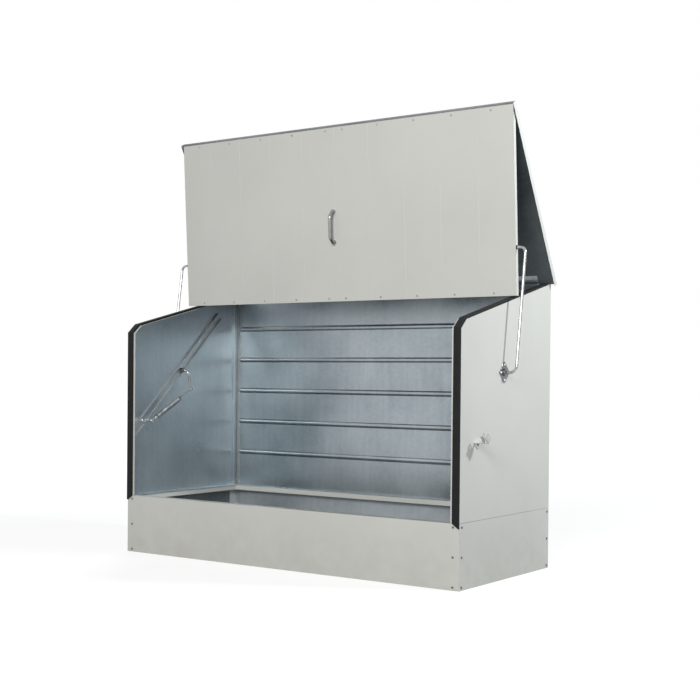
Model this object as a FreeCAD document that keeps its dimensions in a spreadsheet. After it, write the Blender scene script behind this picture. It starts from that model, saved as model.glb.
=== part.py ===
"""A steel bicycle shelter whose sloping roof and hanging front door lift together on cranked rods.

X runs to the right, Y to the rear and Z up. The origin lies on the ground under the middle of the box.
The shelter stands open: the roof is tipped back on its rear hinge and the door hangs from its front edge.
"""
import FreeCAD
import Part
import Sketcher
import math
import os
from FreeCAD import Placement, Rotation, Vector

doc = FreeCAD.newDocument("BicycleShelter")

# Driving dimensions in millimetres, degrees and counts
DRIVING = {
    # Box
    "overall_width": 1940,
    "box_depth": 844,
    "rear_height": 1346,
    "front_height": 1148,
    "nose_run": 45,
    "nose_drop": 40,
    "sill_height": 285,
    "sheet": 0.8,
    "pan_flange": 30,
    "sill_flange": 40,
    "sill_lip": 25,
    "wall_flange": 45,
    "back_side_flange": 30,
    "back_top_flange": 20,
    "back_return": 12,
    "bracket_leg": 45,
    "bracket_wall": 1.5,
    "ground_anchor_side": 120,
    "ground_anchor_end": 92,
    "ground_anchor_bore": 11,
    "bead_first": 188,
    "bead_pitch": 171,
    "bead_top_margin": 100,
    "bead_radius": 17,
    "bead_depth": 7,
    "bead_margin": 25,
    # Rubber edge strips
    "strip_width": 34,
    "strip_thickness": 9,
    "strip_tip": 22,
    "strip_tip_width": 2,
    "strip_rear_gap": 25,
    "lid_gap": 0.6,
    # Rear hinge
    "hinge_back": 6,
    "hinge_drop": 8,
    "hinge_leaf": 1.5,
    "hinge_end_gap": 70,
    "hinge_knuckles": 15,
    "knuckle_radius": 5,
    "knuckle_gap": 0.8,
    "hinge_pin": 5,
    "leaf_height": 40,
    "running_clear": 0.3,
    # Roof
    "roof_open": 60.9,
    "roof_overlap": 22,
    "roof_flange": 25,
    "roof_front": 14,
    "roof_rear": 8,
    "rib_width": 60,
    "rib_depth": 15,
    "rib_margin": 100,
    "rib_spacing": 480,
    # Door
    "door_tilt": 3.4,
    "door_overlap": 15,
    "door_length": 852,
    "door_rise": 3,
    "door_face": 7,
    "door_flange": 20,
    "door_flange_start": 30,
    "door_foot_flange": 12,
    "groove_pitch": 200,
    "groove_width": 4,
    "groove_depth": 0.3,
    "barrel_radius": 4.5,
    "barrel_end_gap": 6,
    "door_pin": 4,
    "rail_end_gap": 10,
    "rail_height": 30,
    "rail_depth": 15,
    "rail_top_drop": 50,
    "rail_foot_gap": 4,
    "handle_length": 176,
    "handle_grip": 104,
    "handle_reach": 42,
    "handle_bar": 18,
    "handle_bend": 22,
    "handle_drop": 487,
    "handle_offset": -12,
    "handle_foot": 25,
    "handle_foot_height": 8,
    # Lift rods
    "door_pin_drop": 632,
    "door_pin_back": 3,
    "pivot_setback": 168,
    "rod_diameter": 13,
    "rod_bend": 28,
    "rod_standoff": 60,
    "rod_end_gap": 5,
    "crank_inset": 58,
    "crank_length": 100,
    "crank_angle": 78,
    "clip_diameter": 16.5,
    "clip_thickness": 2.5,
    "clip_gap": 1.5,
    "bush_flange": 19,
    "bush_flange_height": 2.5,
    "bush_body": 16,
    "bush_tail": 3,
    # Rod bearings and braces
    "plate_side": 68,
    "plate_thickness": 3,
    "boss_diameter": 34,
    "boss_height": 8,
    "tube_diameter": 24,
    "tube_inset": 25,
    "rivet_reach": 34,
    "brace_width": 40,
    "brace_depth": 12,
    "brace_wall": 2,
    "brace_angle": 43.4,
    "brace_lift": 6,
    "brace_low": 480,
    "brace_high": 430,
    # Assist springs
    "spring_inset": 68,
    "stud_reach": 385,
    "stud_pin": 10,
    "stud_spacer": 14,
    "stud_flange": 24,
    "stud_flange_height": 4,
    "stud_head": 16,
    "stud_head_height": 3,
    "side_play": 0.6,
    "eye_diameter": 20,
    "eye_thickness": 8,
    "eye_stem": 7,
    "eye_stem_length": 18,
    "collar_diameter": 27,
    "collar_thickness": 4,
    "spring_wire": 4,
    "spring_outer": 26,
    "spring_turns": 38,
    "spring_pitch": 4.6,
    "spring_lead": 9,
    "drawbar_diameter": 5.5,
    "drawbar_eye": 24,
    "drawbar_eye_bore": 13.6,
    "drawbar_eye_thickness": 6,
    # Rod catches
    "catch_reach": 390,
    "catch_width": 30,
    "catch_plate": 3,
    "catch_base": 42,
    "catch_ear": 34,
    "catch_play": 2,
    "catch_seat_gap": 0.5,
    "padlock_reach": 20,
    "padlock_bore": 11,
    "padlock_shift": 5,
    # Screws and rivets
    "screw_diameter": 5,
    "screw_head": 9.5,
    "screw_head_height": 3.2,
    "screw_crown": 1.5,
    "screw_clear": 0.1,
    "screw_length": 10,
    "corner_screw_edge": 31.5,
    "side_screw_edge": 18.5,
    "corner_screw_low": 14,
    "corner_screw_high": 17,
    "corner_screw_rows": 3,
    "hinge_screw_pitch": 220,
    "hinge_screw_edge": 15,
    "door_screw_first": 51,
    "door_screw_pitch": 205,
    "door_screw_edge": 15,
}

table = doc.addObject("Spreadsheet::Sheet", "Sizes")
for row, (alias, number) in enumerate(DRIVING.items(), start=1):
    table.set(f"A{row}", alias)
    table.set(f"B{row}", str(number))
    table.setAlias(f"B{row}", alias)
doc.recompute()


class Size:
    """A measure held both as a number and as an expression on the sheet's aliases."""

    def __init__(self, value, text):
        self.value = float(value)
        self.text = text

    def __add__(self, other):
        other = as_size(other)
        return Size(self.value + other.value, f"({self.text} + {other.text})")

    def __sub__(self, other):
        other = as_size(other)
        return Size(self.value - other.value, f"({self.text} - {other.text})")

    def __mul__(self, other):
        other = as_size(other)
        return Size(self.value * other.value, f"({self.text} * {other.text})")

    def __truediv__(self, other):
        other = as_size(other)
        return Size(self.value / other.value, f"({self.text} / {other.text})")

    def __radd__(self, other):
        return as_size(other) + self

    def __rsub__(self, other):
        return as_size(other) - self

    def __rmul__(self, other):
        return as_size(other) * self

    def __neg__(self):
        return Size(-self.value, f"(-1 * {self.text})")


def as_size(item):
    """A plain number taken as a measure of its own."""
    if isinstance(item, Size):
        return item
    return Size(item, f"({float(item)})")


def root(size):
    """The square root of a measure."""
    return Size(math.sqrt(size.value), f"sqrt({size.text})")


class Driving:
    """The driving dimensions by name."""


S = Driving()
for alias in DRIVING:
    setattr(S, alias, Size(float(table.get(alias)), f"Sizes.{alias}"))

SIDES = (("left", -1), ("right", 1))
nodes = []


def node(item, label, place=None):
    """Name a finished sub-part and set its place."""
    item.Label = label
    if place is not None:
        item.Placement = place
    nodes.append(item)
    return item


def bind(item, sizes):
    """Tie properties of an object to the sheet."""
    for path, size in sizes.items():
        item.setExpression(path, as_size(size).text)


def block(name, x, y, z):
    """A flat-sided bar between two limits on each axis."""
    item = doc.addObject("Part::Box", name)
    for length, axis, (low, high) in (("Length", "x", x), ("Width", "y", y), ("Height", "z", z)):
        bind(item, {length: as_size(high) - low, f"Placement.Base.{axis}": low})
    return item


def pin(name, radius, x, y=0, z=0):
    """A round bar along X between two limits, about a line at y and z."""
    low, high = x
    item = doc.addObject("Part::Cylinder", name)
    item.Placement = Placement(Vector(), Rotation(Vector(0, 1, 0), 90))
    bind(item, {"Radius": radius, "Height": as_size(high) - low})
    bind(item, {"Placement.Base.x": low, "Placement.Base.y": y, "Placement.Base.z": z})
    return item


def stud(name, radius, y, x=0, z=0):
    """A round bar along Y between two limits, about a line at x and z."""
    low, high = y
    item = doc.addObject("Part::Cylinder", name)
    item.Placement = Placement(Vector(), Rotation(Vector(1, 0, 0), -90))
    bind(item, {"Radius": radius, "Height": as_size(high) - low})
    bind(item, {"Placement.Base.x": x, "Placement.Base.y": low, "Placement.Base.z": z})
    return item


def fused(name, pieces):
    """Pieces that are folded, pressed or welded into one."""
    item = doc.addObject("Part::MultiFuse", name)
    item.Shapes = pieces
    item.Refine = True
    return item


def cut(name, item, tools):
    """A piece with one bore, slot or row of holes after another taken out of it."""
    for number, tool in enumerate(tools):
        result = doc.addObject("Part::Cut", f"{name}_cut_{number}")
        result.Base = item
        result.Tool = tool
        result.Refine = True
        item = result
    return item


def placed(name, item, place):
    """A piece set at a place of its own."""
    result = doc.addObject("Part::Compound", name)
    result.Links = [item]
    result.Placement = place
    return result


def solid_of(name, shape):
    """A shape that is worked out point by point or solid by solid."""
    item = doc.addObject("Part::Feature", name)
    item.Shape = shape
    return item


def mirrored(side, inner, outer):
    """The limits along X of a piece on the left (side -1) or on the right (side 1)."""
    if side > 0:
        return inner, outer
    return -outer, -inner


def outline(body, name, role, corners):
    """A closed sketch of straight edges on one of a body's own planes, each corner tied to the sheet."""
    sketch = body.newObject("Sketcher::SketchObject", name)
    planes = [plane for plane in body.Origin.OriginFeatures if plane.Role == role]
    sketch.AttachmentSupport = [(planes[0], "")]
    sketch.MapMode = "FlatFace"
    corners = [(as_size(across), as_size(up)) for across, up in corners]
    points = [Vector(across.value, up.value, 0) for across, up in corners]
    count = len(points)
    for index in range(count):
        sketch.addGeometry(Part.LineSegment(points[index], points[(index + 1) % count]))
    for index in range(count):
        sketch.addConstraint(Sketcher.Constraint("Coincident", index, 2, (index + 1) % count, 1))
    for index, (across, up) in enumerate(corners):
        for kind, size in (("DistanceX", across), ("DistanceY", up)):
            number = sketch.addConstraint(Sketcher.Constraint(kind, -1, 1, index, 1, size.value))
            sketch.setExpression(f"Constraints[{number}]", size.text)
    return sketch


def screw_group(label, seats, length, place=None):
    """Like screws as separate solids, and the holes for them. A seat is a point under a head and a way in."""
    radius = S.screw_diameter.value / 2
    head_radius = S.screw_head.value / 2
    crown = S.screw_crown.value
    rim = S.screw_head_height.value - crown
    crown_radius = head_radius - crown
    shank = Part.makeCylinder(radius, length.value)
    rim_disc = Part.makeCylinder(head_radius, rim, Vector(0, 0, -rim))
    dome = Part.makeCone(crown_radius, head_radius, crown, Vector(0, 0, -rim - crown))
    screw = shank.fuse([rim_disc, dome]).removeSplitter().Solids[0]
    hole = Part.makeCylinder(radius + S.screw_clear.value, length.value + rim, Vector(0, 0, -rim / 2))
    screws = []
    holes = []
    for seat, inward in seats:
        there = Placement(seat, Rotation(Vector(0, 0, 1), inward))
        screws.append(screw.transformed(there.toMatrix(), True))
        holes.append(hole.transformed(there.toMatrix(), True))
    node(solid_of(f"{label}_group", Part.makeCompound(screws)), label, place)
    return solid_of(f"{label}_holes", Part.makeCompound(holes))


def bent_path(points, radius):
    """A wire of straight runs joined by tangent arcs at its inner points."""
    edges = []
    start = points[0]
    for before, corner, after in zip(points, points[1:], points[2:]):
        back = (before - corner).normalize()
        ahead = (after - corner).normalize()
        half = back.getAngle(ahead) / 2
        reach = radius / math.tan(half)
        middle = (back + ahead).normalize() * (radius / math.sin(half) - radius)
        edges.append(Part.LineSegment(start, corner + back * reach).toShape())
        edges.append(Part.Arc(corner + back * reach, corner + middle, corner + ahead * reach).toShape())
        start = corner + ahead * reach
    edges.append(Part.LineSegment(start, points[-1]).toShape())
    return Part.Wire(edges)


def bent_bar(name, points, bend, diameter):
    """A round bar bent along a route."""
    route = solid_of(f"{name}_route", bent_path(points, bend.value))
    section = doc.addObject("Part::Circle", f"{name}_section")
    section.Placement = Placement(points[0], Rotation(Vector(0, 0, 1), points[1] - points[0]))
    bind(section, {"Radius": diameter / 2})
    bar = doc.addObject("Part::Sweep", f"{name}_bar")
    bar.Sections = [section]
    bar.Spine = (route, [f"Edge{number + 1}" for number in range(len(route.Shape.Edges))])
    bar.Solid = True
    bar.Frenet = False
    return bar


# Main lines of the box
half_width = S.overall_width / 2
front = -(S.box_depth / 2)
rear = S.box_depth / 2
inner_half = half_width - S.sheet
slope_run = S.box_depth - S.nose_run
slope_rise = S.rear_height - S.front_height
slope = slope_rise / slope_run
slope_stretch = root(1 + slope * slope)
nose_slope = S.nose_drop / S.nose_run
nose_stretch = root(1 + nose_slope * nose_slope)


def slope_at(y, offset):
    """Height at y of a line parallel to the walls' sloping top edge, offset outwards."""
    return S.front_height + (y - front - S.nose_run) * slope + offset * slope_stretch


def wall_top(offset):
    """The two corners of the nose on a line parallel to the walls' upper edge, offset outwards."""
    low = front - offset
    low_height = S.front_height - S.nose_drop - offset * nose_slope + offset * nose_stretch
    shift = offset * (slope_stretch - nose_stretch) / (nose_slope - slope)
    high = front + S.nose_run + shift
    return (low, low_height), (high, slope_at(high, offset))


# Lift linkage: rear roof hinge, roof-to-door hinge, door pin and rod pivot, each as y and z
lid_rise = S.strip_thickness + S.lid_gap - S.hinge_drop
rear_axis_y = rear + S.hinge_back
rear_axis_z = slope_at(rear_axis_y, lid_rise)
shut_line_y = front - S.strip_thickness - S.lid_gap - S.sheet + S.door_face
shut_line_z = slope_at(shut_line_y, lid_rise)
roof_reach = (rear_axis_y - shut_line_y) * slope_stretch

open_turn = math.radians(S.roof_open.value)
tilt_turn = math.radians(S.door_tilt.value)
rear_axis = Vector(0, rear_axis_y.value, rear_axis_z.value)
roof_arm = Vector(0, -math.cos(open_turn), math.sin(open_turn))
door_line = rear_axis + roof_arm * roof_reach.value
door_pin_offset = Vector(0, S.door_pin_back.value, -S.door_pin_drop.value)
roof_place = Placement(rear_axis, Rotation(Vector(1, 0, 0), -S.roof_open.value))
door_place = Placement(door_line, Rotation(Vector(1, 0, 0), S.door_tilt.value))
pin_open = door_place.multVec(door_pin_offset)
pin_shut = Vector(0, shut_line_y.value, shut_line_z.value) + door_pin_offset
chord = pin_open - pin_shut
chord_normal = Vector(0, chord.z, -chord.y).normalize()
pivot = (pin_open + pin_shut) * 0.5 + chord_normal * S.pivot_setback.value
shut_arm = pin_shut - pivot
shut_angle = math.degrees(math.atan2(shut_arm.z, shut_arm.y))
pivot_place = Placement(pivot, Rotation())
brace_place = Placement(pivot, Rotation(Vector(1, 0, 0), S.brace_angle.value))

# Spring line from the stud on the brace to the end of the rod's crank
crank_turn = math.radians(S.crank_angle.value)
crank_end = pivot + Vector(0, math.cos(crank_turn), -math.sin(crank_turn)) * S.crank_length.value
spring_foot = brace_place.multVec(Vector(0, -S.stud_reach.value, S.brace_lift.value))
spring_line = crank_end - spring_foot
spring_angle = math.degrees(math.atan2(spring_line.z, spring_line.y))
spring_place = Placement(spring_foot, Rotation(Vector(1, 0, 0), spring_angle))
stud_place = Placement(spring_foot, Rotation())

# Screws of the lower tier: rows on each face near its corners
corner_rows = int(S.corner_screw_rows.value)
corner_span = S.sill_height - S.corner_screw_low - S.corner_screw_high
corner_pitch = corner_span / (S.corner_screw_rows - 1)
corner_heights = [S.corner_screw_low + corner_pitch * step for step in range(corner_rows)]
front_seats = []
rear_seats = []
for _, side in SIDES:
    face_x = (half_width - S.corner_screw_edge).value * side
    side_x = half_width.value * side
    for height in corner_heights:
        across = Vector(-side, 0, 0)
        front_seats.append((Vector(face_x, front.value, height.value), Vector(0, 1, 0)))
        front_seats.append((Vector(side_x, (front + S.side_screw_edge).value, height.value), across))
        rear_seats.append((Vector(face_x, rear.value, height.value), Vector(0, -1, 0)))
        rear_seats.append((Vector(side_x, (rear - S.side_screw_edge).value, height.value), across))
front_holes = screw_group("base_screws_front", front_seats, S.screw_length)
rear_holes = screw_group("base_screws_rear", rear_seats, S.screw_length)

# Floor pan: a tray with upturned edges and four holes for ground anchors
pan_outer = block(
    "pan_outer",
    (-inner_half, inner_half),
    (front + S.sheet, rear - S.sheet),
    (0, S.pan_flange),
)
pan_inner = block(
    "pan_inner",
    (S.sheet - inner_half, inner_half - S.sheet),
    (front + S.sheet * 2, rear - S.sheet * 2),
    (S.sheet, S.pan_flange * 2),
)
anchor_holes = []
for across in (-1, 1):
    for deep in (-1, 1):
        hole = doc.addObject("Part::Cylinder", "ground_anchor_hole")
        bind(hole, {"Radius": S.ground_anchor_bore / 2, "Height": S.pan_flange})
        bind(hole, {"Placement.Base.x": (half_width - S.ground_anchor_side) * across})
        bind(hole, {"Placement.Base.y": (rear - S.ground_anchor_end) * deep})
        bind(hole, {"Placement.Base.z": -(S.pan_flange / 2)})
        anchor_holes.append(hole)
pan_tools = [pan_inner, *anchor_holes, front_holes, rear_holes]
node(cut("pan", pan_outer, pan_tools), "floor_pan")

# Front sill: a face with a folded top ledge that ends in a down-turned lip
sill_face = block("sill_face", (-half_width, half_width), (front, front + S.sheet), (0, S.sill_height))
ledge_height = (S.sill_height - S.sheet, S.sill_height)
sill_ledge = block("sill_ledge", (-inner_half, inner_half), (front, front + S.sill_flange), ledge_height)
lip_half = inner_half - S.bracket_wall
sill_edge = front + S.sill_flange
lip_height = (S.sill_height - S.sill_lip, S.sill_height)
sill_lip = block("sill_lip", (-lip_half, lip_half), (sill_edge - S.sheet, sill_edge), lip_height)
sill = fused("sill", [sill_face, sill_ledge, sill_lip])
node(cut("sill", sill, [front_holes]), "front_sill")

# Lower side panels: a sheet with an inward ledge along its top, lipped like the sill
for name, side in SIDES:
    web = block(
        f"lower_{name}_web",
        mirrored(side, inner_half, half_width),
        (front + S.sheet, rear - S.sheet),
        (0, S.sill_height),
    )
    ledge = block(
        f"lower_{name}_ledge",
        mirrored(side, half_width - S.sill_flange, half_width),
        (sill_edge, rear - S.sill_flange),
        ledge_height,
    )
    lip = block(
        f"lower_{name}_lip",
        mirrored(side, half_width - S.sill_flange, half_width - S.sill_flange + S.sheet),
        (sill_edge, rear - S.sill_flange),
        lip_height,
    )
    panel = fused(f"lower_{name}", [web, ledge, lip])
    node(cut(f"lower_{name}", panel, [front_holes, rear_holes]), f"lower_side_{name}")

# Lower back panel: a face with a forward ledge and lip
back_face = block("lower_back_face", (-half_width, half_width), (rear - S.sheet, rear), (0, S.sill_height))
back_ledge = block("lower_back_ledge", (-inner_half, inner_half), (rear - S.sill_flange, rear), ledge_height)
back_edge = rear - S.sill_flange
back_lip = block("lower_back_lip", (-lip_half, lip_half), (back_edge, back_edge + S.sheet), lip_height)
lower_back = fused("lower_back_folded", [back_face, back_ledge, back_lip])
node(cut("lower_back", lower_back, [rear_holes]), "lower_back")

# Corner brackets: steel angles that stand on the pan's edge inside each lower corner
bracket_height = (S.pan_flange, S.sill_height - S.sheet)
for name, side in SIDES:
    for end, wall, way, holes in (("front", front, 1, front_holes), ("rear", rear, -1, rear_holes)):
        along_x = mirrored(side, inner_half - S.bracket_leg, inner_half)
        along_y = mirrored(side, inner_half - S.bracket_wall, inner_half)
        face = wall + S.sheet * way
        face_leg = sorted((face, face + S.bracket_wall * way), key=lambda size: size.value)
        side_leg = sorted((face, face + S.bracket_leg * way), key=lambda size: size.value)
        legs = [
            block(f"bracket_{end}_{name}_face", along_x, face_leg, bracket_height),
            block(f"bracket_{end}_{name}_side", along_y, side_leg, bracket_height),
        ]
        angle = fused(f"bracket_{end}_{name}", legs)
        node(cut(f"bracket_{end}_{name}", angle, [holes]), f"corner_bracket_{end}_{name}")

# Rivets of the rod bearings and of the rod catches, in place on both walls
catch_turn = shut_angle + 90
catch_spot = pivot + Vector(shut_arm).normalize() * S.catch_reach.value
catch_place = Placement(catch_spot, Rotation(Vector(1, 0, 0), catch_turn))
catch_seat = S.rod_diameter / 2 + S.catch_seat_gap
rivet_seats = []
catch_seats = []
for _, side in SIDES:
    inward = Vector(-side, 0, 0)
    plate_face = (half_width + S.plate_thickness).value * side
    reach = S.rivet_reach.value
    for y, z in ((reach, 0), (-reach, 0), (0, reach), (0, -reach)):
        rivet_seats.append((pivot + Vector(plate_face, y, z), inward))
    base_face = (half_width + S.catch_plate).value * side
    for share in (1, 2):
        along = catch_seat + S.catch_plate + (S.catch_base - S.catch_plate) / 3 * share
        catch_seats.append((catch_place.multVec(Vector(0, along.value, 0)) + Vector(base_face, 0, 0), inward))
rivet_holes = screw_group("bearing_rivets", rivet_seats, S.plate_thickness + S.sheet)
catch_holes = screw_group("catch_rivets", catch_seats, S.catch_plate + S.sheet)

# Upper side walls: a profiled sheet with flanges folded in along its foot, front, nose and slope
tube_hole_radius = S.tube_diameter / 2 + S.screw_clear
for name, side in SIDES:
    label = f"upper_side_{name}"
    wall_rear = rear - S.sheet
    body = doc.addObject("PartDesign::Body", f"{label}_body")
    nose_low, nose_high = wall_top(as_size(0))
    profile = [
        (front, S.sill_height),
        (wall_rear, S.sill_height),
        (wall_rear, slope_at(wall_rear, as_size(0))),
        nose_high,
        nose_low,
    ]
    pad = body.newObject("PartDesign::Pad", f"{label}_pad")
    pad.Profile = outline(body, f"{label}_profile", "YZ_Plane", profile)
    pad.Reversed = side < 0
    bind(pad, {"Length": S.wall_flange})
    doc.recompute()
    fold_low, fold_high = wall_top(-S.sheet)
    beyond = rear + S.wall_flange
    hollow = [
        (front + S.sheet, S.sill_height + S.sheet),
        (beyond, S.sill_height + S.sheet),
        (beyond, slope_at(beyond, -S.sheet)),
        fold_high,
        fold_low,
    ]
    pocket = body.newObject("PartDesign::Pocket", f"{label}_pocket")
    pocket.Profile = outline(body, f"{label}_hollow", "YZ_Plane", hollow)
    pocket.Reversed = side > 0
    bind(pocket, {"Length": S.wall_flange - S.sheet})
    bind(body, {"Placement.Base.x": (half_width - S.wall_flange) * side})
    doc.recompute()
    if pocket.Shape.Volume > pad.Shape.Volume / 2:
        raise RuntimeError(f"{label}: the hollow was not taken out")
    hole_limits = mirrored(side, inner_half - S.sheet, half_width + S.sheet)
    tube_hole = pin(f"{label}_tube_hole", tube_hole_radius, hole_limits)
    tube_hole = placed(f"{label}_tube_hole_placed", tube_hole, pivot_place)
    node(cut(label, body, [tube_hole, rivet_holes, catch_holes]), label)

# Upper back wall: a sheet with returned side flanges and pressed level beads that stand into the box
back_limits = (rear - S.sheet, rear)
fold_half = half_width - S.wall_flange - S.sheet
back_pieces = [
    block("upper_back_face", (-half_width, half_width), back_limits, (S.sill_height, S.rear_height)),
    block(
        "upper_back_top",
        (-fold_half, fold_half),
        (rear - S.back_top_flange, rear),
        (S.rear_height - S.sheet, S.rear_height),
    ),
    block(
        "upper_back_foot",
        (-fold_half, fold_half),
        (rear - S.back_side_flange, rear),
        (S.sill_height, S.sill_height + S.sheet),
    ),
]
flange_edge = rear - S.sheet - S.back_side_flange
flange_top = slope_at(flange_edge, -(S.sheet * 2))
for name, side in SIDES:
    back_pieces.append(
        block(
            f"upper_back_flange_{name}",
            mirrored(side, inner_half - S.sheet, inner_half),
            (flange_edge, rear),
            (S.sill_height + S.sheet, flange_top),
        )
    )
    back_pieces.append(
        block(
            f"upper_back_return_{name}",
            mirrored(side, inner_half - S.back_return, inner_half),
            (flange_edge, flange_edge + S.sheet),
            (S.sill_height + S.sheet, flange_top),
        )
    )
bead_line = rear - S.sheet - S.bead_depth + S.bead_radius
bead_end = half_width - S.bead_margin - S.bead_radius
bead_low = S.sill_height + S.bead_first
bead_count = int((S.rear_height - S.bead_top_margin - bead_low).value / S.bead_pitch.value) + 1
bead_grooves = []
for step in range(bead_count):
    height = bead_low + S.bead_pitch * step
    for use, radius in (("ridge", S.bead_radius), ("groove", S.bead_radius - S.sheet)):
        pieces = [pin(f"bead_{use}_bar", radius, (-bead_end, bead_end), bead_line, height)]
        for way in (-1, 1):
            cap = doc.addObject("Part::Sphere", f"bead_{use}_end")
            bind(cap, {"Radius": radius, "Placement.Base.x": bead_end * way})
            bind(cap, {"Placement.Base.y": bead_line, "Placement.Base.z": height})
            pieces.append(cap)
        capsule = fused(f"bead_{use}", pieces)
        if use == "groove":
            bead_grooves.append(capsule)
            continue
        room = block(
            "bead_room",
            (-half_width, half_width),
            (rear - S.bead_radius * 2, rear),
            (height - S.bead_radius * 2, height + S.bead_radius * 2),
        )
        ridge = doc.addObject("Part::Common", "bead_ridge_inside")
        ridge.Base = capsule
        ridge.Tool = room
        back_pieces.append(ridge)

# Screws of the rear hinge's fixed leaf, from outside through the upper back wall
hinge_half = half_width - S.hinge_end_gap
hinge_pairs = int((hinge_half - S.hinge_screw_edge).value / S.hinge_screw_pitch.value)
hinge_across = [S.hinge_screw_pitch * step for step in range(-hinge_pairs, hinge_pairs + 1)]
leaf_top = rear_axis_z - S.knuckle_radius - S.knuckle_gap
leaf_foot = leaf_top - S.leaf_height
leaf_face = rear + S.hinge_leaf
leaf_seats = []
for across in hinge_across:
    seat = Vector(across.value, leaf_face.value, (leaf_foot + S.hinge_screw_edge).value)
    leaf_seats.append((seat, Vector(0, -1, 0)))
leaf_holes = screw_group("rear_hinge_screws", leaf_seats, S.screw_length)
back_wall = fused("upper_back_pressed", back_pieces)
node(cut("upper_back", back_wall, [*bead_grooves, leaf_holes]), "upper_back")

# Rubber edge strips: along the front, nose and slope of each wall, ending in a point over the sill
for name, side in SIDES:
    label = f"edge_strip_{name}"
    body = doc.addObject("PartDesign::Body", f"{label}_body")
    strip_end = rear - S.strip_rear_gap
    inner_low, inner_high = wall_top(as_size(0))
    outer_low, outer_high = wall_top(S.strip_thickness)
    profile = [
        (front, S.sill_height),
        inner_low,
        inner_high,
        (strip_end, slope_at(strip_end, as_size(0))),
        (strip_end, slope_at(strip_end, S.strip_thickness)),
        outer_high,
        outer_low,
        (front - S.strip_thickness, S.sill_height),
    ]
    pad = body.newObject("PartDesign::Pad", f"{label}_pad")
    pad.Profile = outline(body, f"{label}_profile", "YZ_Plane", profile)
    bind(pad, {"Length": S.strip_width})
    inner_edge, _ = mirrored(side, half_width - S.strip_width, half_width)
    bind(body, {"Placement.Base.x": inner_edge})
    tip = doc.addObject("Part::Wedge", f"{label}_tip")
    tip.Placement = Placement(Vector(), Rotation(Vector(1, 0, 0), -90))
    tip_low = (S.strip_width - S.strip_tip_width) * (1 if side > 0 else 0)
    bind(tip, {"Xmin": 0, "Xmax": S.strip_width, "X2min": tip_low, "X2max": tip_low + S.strip_tip_width})
    bind(tip, {"Ymin": 0, "Ymax": S.strip_tip})
    bind(tip, {"Zmin": 0, "Zmax": S.strip_thickness, "Z2min": 0, "Z2max": S.strip_thickness})
    bind(tip, {"Placement.Base.x": inner_edge})
    bind(tip, {"Placement.Base.y": front - S.strip_thickness, "Placement.Base.z": S.sill_height})
    node(fused(label, [body, tip]), label)

# Side braces: channels welded slantwise on the inside of each wall, bored for the rod bearing
for name, side in SIDES:
    label = f"side_brace_{name}"
    low = S.brace_lift - S.brace_width / 2
    high = S.brace_lift + S.brace_width / 2
    along = (-S.brace_low, S.brace_high)
    deep = mirrored(side, inner_half - S.brace_depth, inner_half)
    channel = fused(
        f"{label}_channel",
        [
            block(f"{label}_web", mirrored(side, inner_half - S.brace_wall, inner_half), along, (low, high)),
            block(f"{label}_foot", deep, along, (low, low + S.brace_wall)),
            block(f"{label}_head", deep, along, (high - S.brace_wall, high)),
        ],
    )
    bore = pin(f"{label}_bore", tube_hole_radius, mirrored(side, inner_half - S.brace_depth, half_width))
    node(cut(label, channel, [bore]), label, brace_place)

# Rod bearings: a square plate set on its corner outside the wall, with a boss and a tube through it
rod_bore_radius = S.rod_diameter / 2 + S.running_clear
for name, side in SIDES:
    label = f"pivot_bearing_{name}"
    plate_limits = mirrored(side, half_width, half_width + S.plate_thickness)
    plate = block(f"{label}_plate", plate_limits, (0, S.plate_side), (0, S.plate_side))
    plate.setExpression("Placement.Base.y", None)
    plate.Placement = Placement(plate.Placement.Base, Rotation(Vector(1, 0, 0), 45))
    bind(plate, {"Placement.Base.y": 0, "Placement.Base.z": -(S.plate_side / root(as_size(2)))})
    boss_end = half_width + S.plate_thickness + S.boss_height
    boss = pin(f"{label}_boss", S.boss_diameter / 2, mirrored(side, half_width, boss_end))
    tube_limits = mirrored(side, half_width - S.tube_inset, boss_end)
    tube = pin(f"{label}_tube", S.tube_diameter / 2, tube_limits)
    bore_limits = mirrored(side, inner_half - S.tube_inset, boss_end + S.sheet)
    bore = pin(f"{label}_bore", rod_bore_radius, bore_limits)
    holes = solid_of(f"{label}_rivet_holes", rivet_holes.Shape.copy())
    holes.Placement = pivot_place.inverse()
    bearing = fused(f"{label}_welded", [plate, boss, tube])
    node(cut(label, bearing, [bore, holes]), label, pivot_place)

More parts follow.
